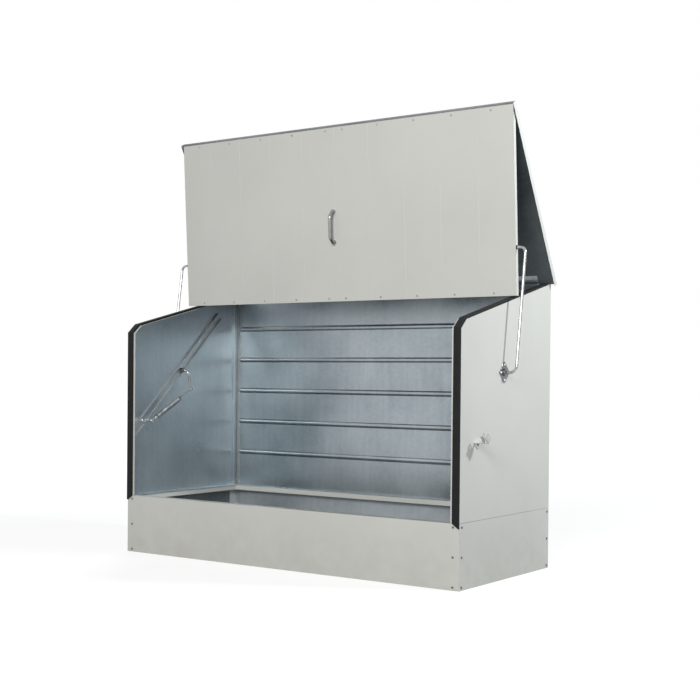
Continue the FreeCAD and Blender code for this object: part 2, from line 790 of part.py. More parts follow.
# Rod catches: a stand-off seat behind the lowered rod, with two ears bored for a padlock.
# Both walls have the same pressing turned end for end, so its bores lie a little to either side.
rod_x = half_width + S.rod_standoff
ear_inner = rod_x - S.rod_diameter / 2 - S.catch_play
ear_outer = rod_x + S.rod_diameter / 2 + S.catch_play
for name, side in SIDES:
    label = f"rod_catch_{name}"
    wide = (-(S.catch_width / 2), S.catch_width / 2)
    seat_limits = (catch_seat, catch_seat + S.catch_plate)
    ear_limits = (-S.catch_ear, catch_seat + S.catch_plate)
    outer_edge = ear_outer + S.catch_plate
    base_x = mirrored(side, half_width, half_width + S.catch_plate)
    inner_ear = mirrored(side, ear_inner - S.catch_plate, ear_inner)
    outer_ear = mirrored(side, ear_outer, outer_edge)
    bracket = fused(
        f"{label}_bent",
        [
            block(f"{label}_base", base_x, (catch_seat, catch_seat + S.catch_base), wide),
            block(f"{label}_seat", mirrored(side, half_width, outer_edge), seat_limits, wide),
            block(f"{label}_ear_inner", inner_ear, ear_limits, wide),
            block(f"{label}_ear_outer", outer_ear, ear_limits, wide),
        ],
    )
    lock_limits = mirrored(side, half_width + S.catch_plate * 2, outer_edge + S.catch_plate)
    lock_shift = S.padlock_shift * side
    lock_hole = pin(f"{label}_lock_hole", S.padlock_bore / 2, lock_limits, -S.padlock_reach, lock_shift)
    holes = solid_of(f"{label}_rivet_holes", catch_holes.Shape.copy())
    holes.Placement = catch_place.inverse()
    node(cut(label, bracket, [lock_hole, holes]), label, catch_place)

# Spring studs: a shouldered pin on each brace with a head that keeps the spring's eye on
spring_x = half_width - S.spring_inset
eye_inner = spring_x - S.eye_thickness / 2
eye_outer = spring_x + S.eye_thickness / 2
for name, side in SIDES:
    label = f"spring_stud_{name}"
    seat = inner_half - S.brace_wall
    head_face = eye_inner - S.side_play
    shoulder = eye_outer + S.side_play
    steps = [
        ("flange", S.stud_flange, seat - S.stud_flange_height, seat),
        ("spacer", S.stud_spacer, shoulder, seat),
        ("pin", S.stud_pin, head_face, seat),
        ("head", S.stud_head, head_face - S.stud_head_height, head_face),
    ]
    pieces = []
    for use, diameter, near, far in steps:
        pieces.append(pin(f"{label}_{use}", diameter / 2, mirrored(side, near, far)))
    node(fused(label, pieces), label, stud_place)

# Rear hinge: a long pin with alternate knuckles on a fixed leaf and on the roof's leaf
knuckle_count = int(S.hinge_knuckles.value)
knuckle_pitch = hinge_half * 2 / S.hinge_knuckles


def knuckles(name, first, root_limits, y, z):
    """Every other knuckle of the hinge, each with the strip of leaf that rises to it."""
    pieces = []
    for number in range(first, knuckle_count, 2):
        start = knuckle_pitch * number - hinge_half
        limits = (start + S.knuckle_gap / 2, start + knuckle_pitch - S.knuckle_gap / 2)
        pieces.append(pin(f"{name}_knuckle", S.knuckle_radius, limits, y, z))
        pieces.append(block(f"{name}_root", limits, *root_limits))
    return pieces


fixed_root = ((rear, leaf_face), (leaf_foot, rear_axis_z))
fixed_plate = block("fixed_leaf_plate", (-hinge_half, hinge_half), (rear, leaf_face), (leaf_foot, leaf_top))
fixed_knuckles = knuckles("fixed_leaf", 0, fixed_root, rear_axis_y, rear_axis_z)
fixed_leaf = fused("fixed_leaf", [fixed_plate, *fixed_knuckles])
fixed_bore = pin(
    "fixed_leaf_bore",
    S.hinge_pin / 2 + S.screw_clear,
    (-half_width, half_width),
    rear_axis_y,
    rear_axis_z,
)
node(cut("fixed_leaf", fixed_leaf, [fixed_bore, leaf_holes]), "rear_hinge_leaf")
pin_half = hinge_half + S.hinge_pin
node(pin("rear_pin", S.hinge_pin / 2, (-pin_half, pin_half), rear_axis_y, rear_axis_z), "rear_hinge_pin")

# Roof, drawn with the rear hinge at the origin and the front edge towards -Y
roof_under = S.hinge_drop
roof_top = roof_under + S.sheet
roof_half = half_width + S.roof_overlap
leaf_under = roof_under - S.hinge_leaf
front_leaf_edge = S.barrel_radius + S.knuckle_gap - roof_reach
roof_limits = (-(roof_reach + S.roof_front), S.roof_rear)
roof_seats = []
for across in hinge_across:
    for y in (S.hinge_screw_edge - S.leaf_height, front_leaf_edge + S.leaf_height - S.hinge_screw_edge):
        roof_seats.append((Vector(across.value, y.value, roof_top.value), Vector(0, 0, -1)))
roof_holes = screw_group("roof_rivets", roof_seats, S.sheet + S.hinge_leaf, roof_place)
roof_pieces = [block("roof_plate", (-roof_half, roof_half), roof_limits, (roof_under, roof_top))]
for name, side in SIDES:
    fold = mirrored(side, roof_half - S.sheet, roof_half)
    roof_pieces.append(block(f"roof_fold_{name}", fold, roof_limits, (roof_top - S.roof_flange, roof_top)))
roof = fused("roof_folded", roof_pieces)
node(cut("roof", roof, [roof_holes]), "roof_skin", roof_place)

# Roof's rear leaf with its knuckles
leaf_limits = (leaf_under, roof_under)
rear_plate = block("roof_rear_plate", (-hinge_half, hinge_half), (-S.leaf_height, 0), leaf_limits)
roof_root = ((-(S.knuckle_radius / 2), S.knuckle_radius / 2), (0, roof_under))
rear_leaf = fused("roof_rear_leaf_rolled", [rear_plate, *knuckles("roof_leaf", 1, roof_root, 0, 0)])
rear_bore = pin("roof_rear_bore", S.hinge_pin / 2 + S.running_clear, (-half_width, half_width))
node(cut("roof_rear_leaf", rear_leaf, [rear_bore, roof_holes]), "roof_rear_leaf", roof_place)

# Roof's front leaf, which meets the barrel on the door
front_leaf_limits = (front_leaf_edge, front_leaf_edge + S.leaf_height)
front_plate = block("roof_front_plate", (-hinge_half, hinge_half), front_leaf_limits, leaf_limits)
front_curl = block(
    "roof_front_curl",
    (-hinge_half, hinge_half),
    (front_leaf_edge, front_leaf_edge + S.hinge_leaf),
    (0, roof_under),
)
front_leaf = fused("roof_front_leaf_rolled", [front_plate, front_curl])
node(cut("roof_front_leaf", front_leaf, [roof_holes]), "roof_front_leaf", roof_place)

# Roof ribs: shallow hats from front to rear under the sheet
rib_along = (S.rib_margin - roof_reach, -S.rib_margin)
for number, step in enumerate((-1, 0, 1), start=1):
    label = f"roof_rib_{number}"
    middle = S.rib_spacing * step
    low = middle - S.rib_width / 2
    high = middle + S.rib_width / 2
    brim = S.rib_width / 4
    foot = roof_under - S.rib_depth
    left_web = low + brim
    right_web = high - brim
    brim_limits = (roof_under - S.sheet, roof_under)
    hat = [
        block(f"{label}_crown", (left_web, right_web), rib_along, (foot, foot + S.sheet)),
        block(f"{label}_left", (left_web, left_web + S.sheet), rib_along, (foot, roof_under)),
        block(f"{label}_right", (right_web - S.sheet, right_web), rib_along, (foot, roof_under)),
        block(f"{label}_brim_left", (low, left_web + S.sheet), rib_along, brim_limits),
        block(f"{label}_brim_right", (right_web - S.sheet, high), rib_along, brim_limits),
    ]
    node(fused(label, hat), label, roof_place)

# Door, drawn with its hinge line at the origin and hanging towards -Z
door_half = half_width + S.door_overlap
door_out = -S.door_face
door_in = door_out + S.sheet
door_head = S.door_rise
door_foot = door_head - S.door_length
top_row = door_head - S.door_screw_edge
foot_row = door_foot + S.door_screw_edge
barrel_half = half_width - S.strip_width - S.barrel_end_gap
rail_half = half_width - S.wall_flange - S.rail_end_gap
screw_room = rail_half - S.door_screw_first - S.door_screw_edge
door_pairs = int(screw_room.value / S.door_screw_pitch.value) + 1
top_seats = []
foot_seats = []
for _, side in SIDES:
    for step in range(door_pairs):
        across = (S.door_screw_first + S.door_screw_pitch * step) * side
        top_seats.append((Vector(across.value, door_out.value, top_row.value), Vector(0, 1, 0)))
        foot_seats.append((Vector(across.value, door_out.value, foot_row.value), Vector(0, 1, 0)))
top_holes = screw_group("door_top_rivets", top_seats, S.sheet + S.hinge_leaf, door_place)
foot_holes = screw_group("door_foot_screws", foot_seats, S.screw_length, door_place)

handle_middle = door_head - S.handle_drop
foot_spread = (S.handle_length - S.handle_foot) / 2
handle_seats = []
for way in (-1, 1):
    seat = Vector(S.handle_offset.value, door_in.value, (handle_middle + foot_spread * way).value)
    handle_seats.append((seat, Vector(0, -1, 0)))
handle_holes = screw_group("handle_screws", handle_seats, S.screw_length, door_place)

# Door skin: a sheet with pressed upright lines, folded back along its sides and foot
door_pieces = [block("door_plate", (-door_half, door_half), (door_out, door_in), (door_foot, door_head))]
fold_limits = (door_out, door_out + S.door_flange)
for name, side in SIDES:
    fold = mirrored(side, door_half - S.sheet, door_half)
    door_pieces.append(block(f"door_fold_{name}", fold, fold_limits, (door_foot, -S.door_flange_start)))
door_pieces.append(
    block(
        "door_fold_foot",
        (-rail_half, rail_half),
        (door_out, door_out + S.door_foot_flange),
        (door_foot, door_foot + S.sheet),
    )
)
bush_holes = []
for name, side in SIDES:
    bush_limits = mirrored(side, door_half - S.door_flange, door_half + S.door_flange)
    bush_hole = pin(f"bush_hole_{name}", S.bush_body / 2, bush_limits, S.door_pin_back, -S.door_pin_drop)
    bush_holes.append(bush_hole)
grooves = []
groove_steps = int(door_half.value / S.groove_pitch.value)
for step in range(-groove_steps, groove_steps + 1):
    middle = S.groove_pitch * step
    limits = (middle - S.groove_width / 2, middle + S.groove_width / 2)
    deep = (door_out - S.groove_depth, door_out + S.groove_depth)
    grooves.append(block("door_groove", limits, deep, (door_foot - S.sheet, door_head + S.sheet)))
groove_set = doc.addObject("Part::Compound", "door_grooves")
groove_set.Links = grooves
door = fused("door_folded", door_pieces)
door_tools = [groove_set, *bush_holes, top_holes, foot_holes, handle_holes]
node(cut("door", door, door_tools), "door_skin", door_place)

# Door's hinge leaf, rolled into one long barrel with its pin
barrel_limits = (-barrel_half, barrel_half)
door_leaf_limits = (door_in, door_in + S.hinge_leaf)
door_leaf_plate = block("door_leaf_plate", barrel_limits, door_leaf_limits, (-S.leaf_height, 0))
barrel = pin("door_leaf_barrel", S.barrel_radius, barrel_limits)
barrel_bore = pin("door_leaf_bore", S.door_pin / 2 + S.screw_clear, (-half_width, half_width))
door_leaf_root = block("door_leaf_root", barrel_limits, (door_in, 0), (-S.hinge_leaf, 0))
door_leaf = fused("door_leaf_rolled", [door_leaf_plate, door_leaf_root, barrel])
node(cut("door_leaf", door_leaf, [barrel_bore, top_holes]), "door_hinge_leaf", door_place)
door_pin_half = barrel_half + S.door_pin
door_pin = pin("door_pin_bar", S.door_pin / 2, (-door_pin_half, door_pin_half))
node(placed("door_pin", door_pin, door_place), "door_hinge_pin")

# Door rails: rectangular tubes across the inside near the head and the foot
for label, rail_foot, holes in (
    ("door_top_rail", -(S.rail_top_drop + S.rail_height), []),
    ("door_foot_rail", door_foot + S.rail_foot_gap, [foot_holes]),
):
    outer = block(
        f"{label}_outer",
        (-rail_half, rail_half),
        (door_in, door_in + S.rail_depth),
        (rail_foot, rail_foot + S.rail_height),
    )
    inner = block(
        f"{label}_inner",
        (-half_width, half_width),
        (door_in + S.sheet, door_in + S.rail_depth - S.sheet),
        (rail_foot + S.sheet, rail_foot + S.rail_height - S.sheet),
    )
    node(cut(label, outer, [inner, *holes]), label, door_place)

# Door handle: a thick round grip on slanting legs, with two round feet
grip_out = door_out - S.handle_reach + S.handle_bar / 2
foot_out = door_out - S.handle_foot_height
grip_half = S.handle_grip / 2
bow_line = [
    (foot_out, foot_spread),
    (grip_out, grip_half),
    (grip_out, -grip_half),
    (foot_out, -foot_spread),
]
bow = []
for depth, spread in bow_line:
    bow.append(Vector(S.handle_offset.value, depth.value, (handle_middle + spread).value))
handle_pieces = [bent_bar("handle", bow, S.handle_bend, S.handle_bar)]
for way in (-1, 1):
    foot_height = handle_middle + foot_spread * way
    foot_limits = (foot_out, door_out)
    handle_pieces.append(stud("handle_foot", S.handle_foot / 2, foot_limits, S.handle_offset, foot_height))
node(cut("handle", fused("handle_bow", handle_pieces), [handle_holes]), "door_handle", door_place)

# Rod bushes: flanged sleeves in the door's side folds
for name, side in SIDES:
    label = f"rod_bush_{name}"
    tail = door_half - S.sheet - S.bush_tail
    flange_limits = mirrored(side, door_half, door_half + S.bush_flange_height)
    sleeve_limits = mirrored(side, tail, door_half + S.bush_flange_height)
    place = (S.door_pin_back, -S.door_pin_drop)
    pieces = [
        pin(f"{label}_flange", S.bush_flange / 2, flange_limits, *place),
        pin(f"{label}_sleeve", S.bush_body / 2, sleeve_limits, *place),
    ]
    bore = pin(f"{label}_bore", rod_bore_radius, mirrored(side, half_width, rod_x), *place)
    node(cut(label, fused(f"{label}_turned", pieces), [bore]), label, door_place)

# Lift rods: bent from one round bar, with a crank inside the wall and a stub in the door
crank_x = half_width - S.crank_inset
stub_x = half_width + S.rod_end_gap
for name, side in SIDES:
    label = f"lift_rod_{name}"
    route = [
        crank_end + Vector(crank_x.value * side, 0, 0),
        pivot + Vector(crank_x.value * side, 0, 0),
        pivot + Vector(rod_x.value * side, 0, 0),
        pin_open + Vector(rod_x.value * side, 0, 0),
        pin_open + Vector(stub_x.value * side, 0, 0),
    ]
    node(bent_bar(label, route, S.rod_bend, S.rod_diameter), label)

# Rod clips: rings pressed on the rods' stubs inside the door's folds
pin_place = Placement(pin_open, Rotation())
for name, side in SIDES:
    label = f"rod_clip_{name}"
    clip_start = stub_x + S.clip_gap
    limits = mirrored(side, clip_start, clip_start + S.clip_thickness)
    ring = pin(f"{label}_ring", S.clip_diameter / 2, limits)
    bore = pin(f"{label}_bore", S.rod_diameter / 2, mirrored(side, inner_half, rod_x))
    node(cut(label, ring, [bore]), label, pin_place)

# Spring fittings, drawn with the stud at the origin and the spring towards +Y
stem_end = S.eye_diameter / 2 + S.eye_stem_length
coil_start = stem_end + S.collar_thickness
coil_length = S.spring_pitch * S.spring_turns + (S.spring_wire + S.spring_lead) * 2
coil_end = coil_start + coil_length
drawbar_start = coil_end + S.collar_thickness
line_length = spring_line.Length
for name, side in SIDES:
    label = f"spring_eye_{name}"
    centre_x = spring_x * side
    ring = pin(f"{label}_ring", S.eye_diameter / 2, mirrored(side, eye_inner, eye_outer))
    stem = stud(f"{label}_stem", S.eye_stem / 2, (0, stem_end), centre_x)
    collar = stud(f"{label}_collar", S.collar_diameter / 2, (stem_end, coil_start), centre_x)
    bore_limits = mirrored(side, eye_inner - S.side_play, eye_outer + S.side_play)
    bore = pin(f"{label}_bore", S.stud_pin / 2 + S.running_clear, bore_limits)
    node(cut(label, fused(f"{label}_forged", [ring, stem, collar]), [bore]), label, spring_place)

    label = f"spring_drawbar_{name}"
    half_eye = S.drawbar_eye_thickness / 2
    eye_limits = mirrored(side, spring_x - half_eye, spring_x + half_eye)
    collar = stud(f"{label}_collar", S.collar_diameter / 2, (coil_end, drawbar_start), centre_x)
    bar = stud(f"{label}_bar", S.drawbar_diameter / 2, (drawbar_start, line_length), centre_x)
    eye = pin(f"{label}_eye", S.drawbar_eye / 2, eye_limits, line_length)
    bore_limits = mirrored(side, spring_x - half_eye * 2, spring_x + half_eye * 2)
    bore = pin(f"{label}_bore", S.drawbar_eye_bore / 2, bore_limits, line_length)
    node(cut(label, fused(f"{label}_welded", [collar, bar, eye]), [bore]), label, spring_place)


def biarc(start, start_way, end, end_way):
    """Two tangent arcs from one point and direction to another."""
    gap = end - start
    way_sum = start_way + end_way
    square = 2 * (start_way.dot(end_way) - 1)
    linear = -2 * gap.dot(way_sum)
    constant = gap.dot(gap)
    reach = (-linear - math.sqrt(linear * linear - 4 * square * constant)) / (2 * square)
    joint = (start + start_way * reach + end - end_way * reach) * 0.5
    joint_way = (end - end_way * reach - start - start_way * reach).normalize()
    arcs = []
    for near, far, way in ((start, joint, start_way), (joint, end, joint_way)):
        run = far - near
        normal = run.cross(way).cross(way).normalize() * -1
        if normal.dot(run) < 0:
            normal = normal * -1
        radius = run.dot(run) / (2 * run.dot(normal))
        centre = near + normal * radius
        middle = centre + ((near + far) * 0.5 - centre).normalize() * radius
        arcs.append(Part.Arc(near, middle, far))
    return arcs


def coil_route():
    """The wire's line along +Y from 0: straight end, lead-in, even turns, lead-out and straight end."""
    mean_radius = (S.spring_outer.value - S.spring_wire.value) / 2
    pitch = S.spring_pitch.value
    turns = S.spring_turns.value
    wire = S.spring_wire.value
    lead = S.spring_lead.value
    climb = math.hypot(2 * math.pi * mean_radius, pitch)

    def on_coil(turn):
        angle = 2 * math.pi * turn
        height = wire + lead + pitch * turn
        spot = Vector(mean_radius * math.cos(angle), height, mean_radius * math.sin(angle))
        around = 2 * math.pi * mean_radius / climb
        return spot, Vector(-around * math.sin(angle), pitch / climb, around * math.cos(angle))

    along = Vector(0, 1, 0)
    quarter = 0.25
    first = Vector(mean_radius * math.cos(-math.pi / 2), 0, mean_radius * math.sin(-math.pi / 2))
    steps = int(round(turns / quarter))
    knots = [on_coil(quarter * step) for step in range(steps + 1)]
    last_angle = 2 * math.pi * (turns + quarter)
    length = coil_length.value
    last = Vector(mean_radius * math.cos(last_angle), length, mean_radius * math.sin(last_angle))
    knots.insert(0, (first + along * wire, along))
    knots.append((last - along * wire, along))
    curves = [Part.LineSegment(first, first + along * wire)]
    for (near, near_way), (far, far_way) in zip(knots, knots[1:]):
        curves.extend(biarc(near, near_way, far, far_way))
    curves.append(Part.LineSegment(last - along * wire, last))
    return Part.Wire([curve.toShape() for curve in curves])


def least_self_gap(route, wire):
    """The least clear space between two stretches of a wire that are not next to each other."""
    spots = route.discretize(Distance=wire / 4)
    cells = {}
    least = 10 * wire
    skip = int(4 * math.pi)
    for index, spot in enumerate(spots):
        key = (int(spot.x // (2 * wire)), int(spot.y // (2 * wire)), int(spot.z // (2 * wire)))
        cells.setdefault(key, []).append(index)
    for (i, j, k), members in cells.items():
        around = [(i + a, j + b, k + c) for a in (-1, 0, 1) for b in (-1, 0, 1) for c in (-1, 0, 1)]
        nearby = [other for cell in around for other in cells.get(cell, [])]
        for index in members:
            for other in nearby:
                if other - index > skip:
                    least = min(least, spots[index].distanceToPoint(spots[other]))
    return least - wire


# Assist springs: each an unbroken coil of round wire between the two collars
route = coil_route()
print("spring wire, least gap to itself", round(least_self_gap(route, S.spring_wire.value), 3))
bends = [edge.Curve.Radius for edge in route.Edges if hasattr(edge.Curve, "Radius")]
print("spring wire, tightest bend", round(min(bends), 2))
wire_end = Part.Circle(route.Edges[0].Vertexes[0].Point, Vector(0, 1, 0), S.spring_wire.value / 2)
coil = route.makePipeShell([Part.Wire(wire_end.toShape())], True, False)
for name, side in SIDES:
    there = Placement(Vector(spring_x.value * side, coil_start.value, 0), Rotation())
    shape = coil.transformed(there.toMatrix(), True)
    node(solid_of(f"coil_{name}", shape), f"assist_spring_{name}", spring_place)

# Check everything before any file is written
doc.recompute()
for item in doc.Objects:
    if "Invalid" in item.State or "Error" in item.State:
        raise RuntimeError(f"{item.Label} failed: {item.State}")
for item in nodes:
    if item.Shape.isNull() or not item.Shape.isValid() or not item.Shape.Solids:
        raise RuntimeError(f"{item.Label} has no sound solid")

print("sub-parts", len(nodes))
print("rear hinge line", rear_axis)
print("roof-to-door hinge line", door_line)
print("door pin", pin_open)
print("rod pivot", pivot)
print("spring stud", spring_foot)
os.makedirs("parts", exist_ok=True)
for item in nodes:
    item.Shape.exportStep(f"parts/{item.Label}.step")
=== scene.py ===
"""Looks of the steel bicycle shelter: galvanised sheet painted outside, rubber edges, zinc rods and springs.

The sections follow the shelter as it is put together, from the floor tray up to the lid and its springs.
"""
import math

import bpy
from mathutils import Matrix, Vector


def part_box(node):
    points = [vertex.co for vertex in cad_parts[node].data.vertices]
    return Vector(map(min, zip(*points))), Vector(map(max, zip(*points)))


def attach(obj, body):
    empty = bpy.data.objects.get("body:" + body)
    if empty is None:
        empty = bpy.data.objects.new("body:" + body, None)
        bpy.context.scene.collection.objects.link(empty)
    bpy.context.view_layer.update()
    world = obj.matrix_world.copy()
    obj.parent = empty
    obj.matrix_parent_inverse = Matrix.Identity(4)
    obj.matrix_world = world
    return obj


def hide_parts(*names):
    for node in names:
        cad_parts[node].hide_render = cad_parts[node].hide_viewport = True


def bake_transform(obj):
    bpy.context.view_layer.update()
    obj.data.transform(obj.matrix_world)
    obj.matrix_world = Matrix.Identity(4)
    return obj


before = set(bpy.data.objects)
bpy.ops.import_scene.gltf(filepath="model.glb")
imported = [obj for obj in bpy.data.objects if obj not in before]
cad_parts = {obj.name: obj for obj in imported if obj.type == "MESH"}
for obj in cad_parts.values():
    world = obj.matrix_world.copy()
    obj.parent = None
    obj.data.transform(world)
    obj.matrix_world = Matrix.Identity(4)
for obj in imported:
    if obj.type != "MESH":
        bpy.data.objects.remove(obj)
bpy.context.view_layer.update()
bpy.ops.object.select_all(action="DESELECT")


# Floor tray: bare hot-dip galvanised sheet with upturned edges, folded from one blank.
# It lies on the ground inside the walls. The zinc shows a faint spangle, dull clouds and rolling streaks.
# Its edges are cut bare, so they rub bright.
def add(tree, kind, settings=None, **inputs):
    """Places a shader node. An input is a plain value, or another node's output to be linked."""
    item = tree.nodes.new(kind)
    for name, value in (settings or {}).items():
        setattr(item, name, value)
    for name, value in inputs.items():
        socket = item.inputs[name.replace("_", " ")]
        if isinstance(value, bpy.types.NodeSocket):
            tree.links.new(value, socket)
        else:
            socket.default_value = value
    return item


def calc(tree, operation, first, second=0.0):
    """A Math node on two numbers or outputs, held between 0 and 1."""
    item = tree.nodes.new("ShaderNodeMath")
    item.operation = operation
    item.use_clamp = True
    for socket, value in zip(item.inputs, (first, second)):
        if isinstance(value, bpy.types.NodeSocket):
            tree.links.new(value, socket)
        else:
            socket.default_value = value
    return item.outputs[0]


def spread(tree, value, low, high, to_low, to_high):
    """A Map Range node that stretches a value from one range to another."""
    item = add(tree, "ShaderNodeMapRange", {"clamp": True}, Value=value)
    for name, number in (("From Min", low), ("From Max", high), ("To Min", to_low), ("To Max", to_high)):
        item.inputs[name].default_value = number
    return item.outputs["Result"]


def new_group(name, inputs, outputs):
    """A shader node group with named number inputs and named outputs."""
    group = bpy.data.node_groups.new(name, "ShaderNodeTree")
    for label, value in inputs.items():
        socket = group.interface.new_socket(label, in_out="INPUT", socket_type="NodeSocketFloat")
        socket.default_value = value
    for label, kind in outputs.items():
        group.interface.new_socket(label, in_out="OUTPUT", socket_type=kind)
    return group, group.nodes.new("NodeGroupInput"), group.nodes.new("NodeGroupOutput")


# Zinc skin: crystals of the zinc, dull clouds and long rolling streaks
zinc_skin, given, result = new_group(
    "zinc_skin",
    {"Crystal Size": 60.0, "Crystal Depth": 0.1, "Cloud Depth": 0.15},
    {"Shade": "NodeSocketFloat", "Dullness": "NodeSocketFloat"},
)
place = add(zinc_skin, "ShaderNodeTexCoord")
crystals = add(zinc_skin, "ShaderNodeTexVoronoi", Vector=place.outputs["Object"], Scale=given.outputs[0])
crystal_tone = add(zinc_skin, "ShaderNodeSeparateColor", Color=crystals.outputs["Color"])
clouds = add(zinc_skin, "ShaderNodeTexNoise", Vector=place.outputs["Object"], Scale=3.2, Detail=5.0)
long_way = add(zinc_skin, "ShaderNodeMapping", Vector=place.outputs["Object"], Scale=(9.0, 9.0, 0.7))
streaks = add(zinc_skin, "ShaderNodeTexNoise", Vector=long_way.outputs[0], Scale=4.0, Detail=4.0)
crystal_part = calc(zinc_skin, "MULTIPLY", crystal_tone.outputs[0], given.outputs[1])
cloud_half = spread(zinc_skin, clouds.outputs[0], 0.3, 0.7, 0.0, 1.0)
streak_half = spread(zinc_skin, streaks.outputs[0], 0.3, 0.7, 0.0, 0.25)
cloud_mean = calc(zinc_skin, "ADD", cloud_half, streak_half)
cloud_part = calc(zinc_skin, "MULTIPLY", cloud_mean, given.outputs[2])
zinc_skin.links.new(calc(zinc_skin, "ADD", crystal_part, cloud_part), result.inputs["Shade"])
zinc_skin.links.new(cloud_half, result.inputs["Dullness"])

# Edge rub: finds edges by how far a rounded normal turns from the flat one
edge_rub, given, result = new_group(
    "edge_rub",
    {"Breakup": 90.0},
    {"Mask": "NodeSocketFloat", "Normal": "NodeSocketVector"},
)
rounded = add(edge_rub, "ShaderNodeBevel", {"samples": 4}, Radius=0.0012)
flat = add(edge_rub, "ShaderNodeNewGeometry")
turned = add(edge_rub, "ShaderNodeVectorMath", {"operation": "DOT_PRODUCT"})
edge_rub.links.new(rounded.outputs[0], turned.inputs[0])
edge_rub.links.new(flat.outputs["Normal"], turned.inputs[1])
place = add(edge_rub, "ShaderNodeTexCoord")
chips = add(edge_rub, "ShaderNodeTexNoise", Vector=place.outputs["Object"], Scale=given.outputs[0])
chips.inputs["Detail"].default_value = 3.0
edge_near = spread(edge_rub, turned.outputs["Value"], 0.99, 0.8, 0.0, 1.0)
edge_worn = spread(edge_rub, chips.outputs[0], 0.45, 0.62, 0.0, 1.0)
edge_rub.links.new(calc(edge_rub, "MULTIPLY", edge_near, edge_worn), result.inputs["Mask"])
edge_rub.links.new(rounded.outputs[0], result.inputs["Normal"])

# Ground dust: a soft film that thickens towards the foot of the box, broken by splashes
ground_dust, given, result = new_group(
    "ground_dust",
    {"Reach": 0.25, "Amount": 0.4},
    {"Mask": "NodeSocketFloat"},
)
place = add(ground_dust, "ShaderNodeTexCoord")
height = add(ground_dust, "ShaderNodeSeparateXYZ", Vector=place.outputs["Object"])
splash = add(ground_dust, "ShaderNodeTexNoise", Vector=place.outputs["Object"], Scale=14.0, Detail=7.0)
share = calc(ground_dust, "DIVIDE", height.outputs["Z"], given.outputs[0])
near_ground = calc(ground_dust, "SUBTRACT", 1.0, share)
splash_mask = spread(ground_dust, splash.outputs[0], 0.35, 0.7, 0.2, 1.0)
film = calc(ground_dust, "MULTIPLY", near_ground, splash_mask)
ground_dust.links.new(calc(ground_dust, "MULTIPLY", film, given.outputs[1]), result.inputs["Mask"])


def new_material(name):
    """An empty material with its tree, Principled shader and surface output joined."""
    material = bpy.data.materials.new(name)
    material.use_nodes = True
    tree = material.node_tree
    tree.nodes.clear()
    shader = tree.nodes.new("ShaderNodeBsdfPrincipled")
    output = tree.nodes.new("ShaderNodeOutputMaterial")
    tree.links.new(shader.outputs[0], output.inputs["Surface"])
    return material, tree, shader


def use_group(tree, group, **inputs):
    """Places a shared group in a material with its own values."""
    item = tree.nodes.new("ShaderNodeGroup")
    item.node_tree = group
    for name, value in inputs.items():
        item.inputs[name.replace("_", " ")].default_value = value
    return item


def blend_colour(tree, factor, first, second):
    """Mixes two colours, each plain or from a node, by a mask."""
    item = add(tree, "ShaderNodeMixRGB", None, Fac=factor, Color1=first, Color2=second)
    return item.outputs[0]


def wear(names, material):
    """Gives CAD pieces a finish."""
    for name in names:
        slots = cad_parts[name].data.materials
        slots.clear()
        slots.append(material)


RUBBED_ZINC = (0.82, 0.84, 0.85, 1.0)
DRY_DUST = (0.42, 0.4, 0.36, 1.0)


def zinc_sheet(name, dark, pale, crystal_size, rough_low, rough_high):
    """Bare galvanised sheet steel."""
    material, tree, shader = new_material(name)
    skin = use_group(tree, zinc_skin, Crystal_Size=crystal_size, Crystal_Depth=0.2, Cloud_Depth=0.6)
    rub = use_group(tree, edge_rub, Breakup=60.0)
    dust = use_group(tree, ground_dust, Reach=0.12, Amount=0.5)
    tone = blend_colour(tree, skin.outputs["Shade"], dark, pale)
    rubbed = blend_colour(tree, rub.outputs["Mask"], tone, RUBBED_ZINC)
    dusty = blend_colour(tree, dust.outputs["Mask"], rubbed, DRY_DUST)
    tree.links.new(dusty, shader.inputs["Base Color"])
    shine = spread(tree, skin.outputs["Dullness"], 0.0, 1.0, rough_low, rough_high)
    tree.links.new(shine, shader.inputs["Roughness"])
    clean = calc(tree, "SUBTRACT", 1.0, dust.outputs["Mask"])
    tree.links.new(clean, shader.inputs["Metallic"])
    place = add(tree, "ShaderNodeTexCoord")
    waves = add(tree, "ShaderNodeTexNoise", Vector=place.outputs["Object"], Scale=2.2, Detail=1.0)
    bump = add(tree, "ShaderNodeBump", Strength=0.25, Distance=0.012, Height=waves.outputs[0])
    tree.links.new(rub.outputs["Normal"], bump.inputs["Normal"])
    tree.links.new(bump.outputs[0], shader.inputs["Normal"])
    return material


tray_zinc = zinc_sheet("tray_zinc", (0.3, 0.33, 0.35, 1.0), (0.5, 0.535, 0.555, 1.0), 55.0, 0.38, 0.55)
wear(["floor_pan"], tray_zinc)

# Lower tier: four folded panels, painted light warm grey on the outside and bare zinc within.
# Each is factory coated on one face before it is folded, so the paint follows the sheet round its bends.
# Rain splashes leave a thin film near the ground, and the edges are rubbed pale.
SATIN_GREY = (0.615, 0.622, 0.588, 1.0)
FADED_GREY = (0.56, 0.566, 0.536, 1.0)
RUBBED_PAINT = (0.7, 0.7, 0.68, 1.0)
# A painted highlight on the door's press lines
PRESS_LINE_HIGHLIGHT = (0.72, 0.72, 0.7, 1.0)
SPLASHED_MUD = (0.4, 0.37, 0.32, 1.0)
# Painted shadow, with some dirt, for the joint between the upper and lower panels
SEAM_SHADE_AND_DIRT = (0.22, 0.22, 0.21, 1.0)
SEAM_REACH = 0.0014
PRESS_LINE_REACH = 0.0024


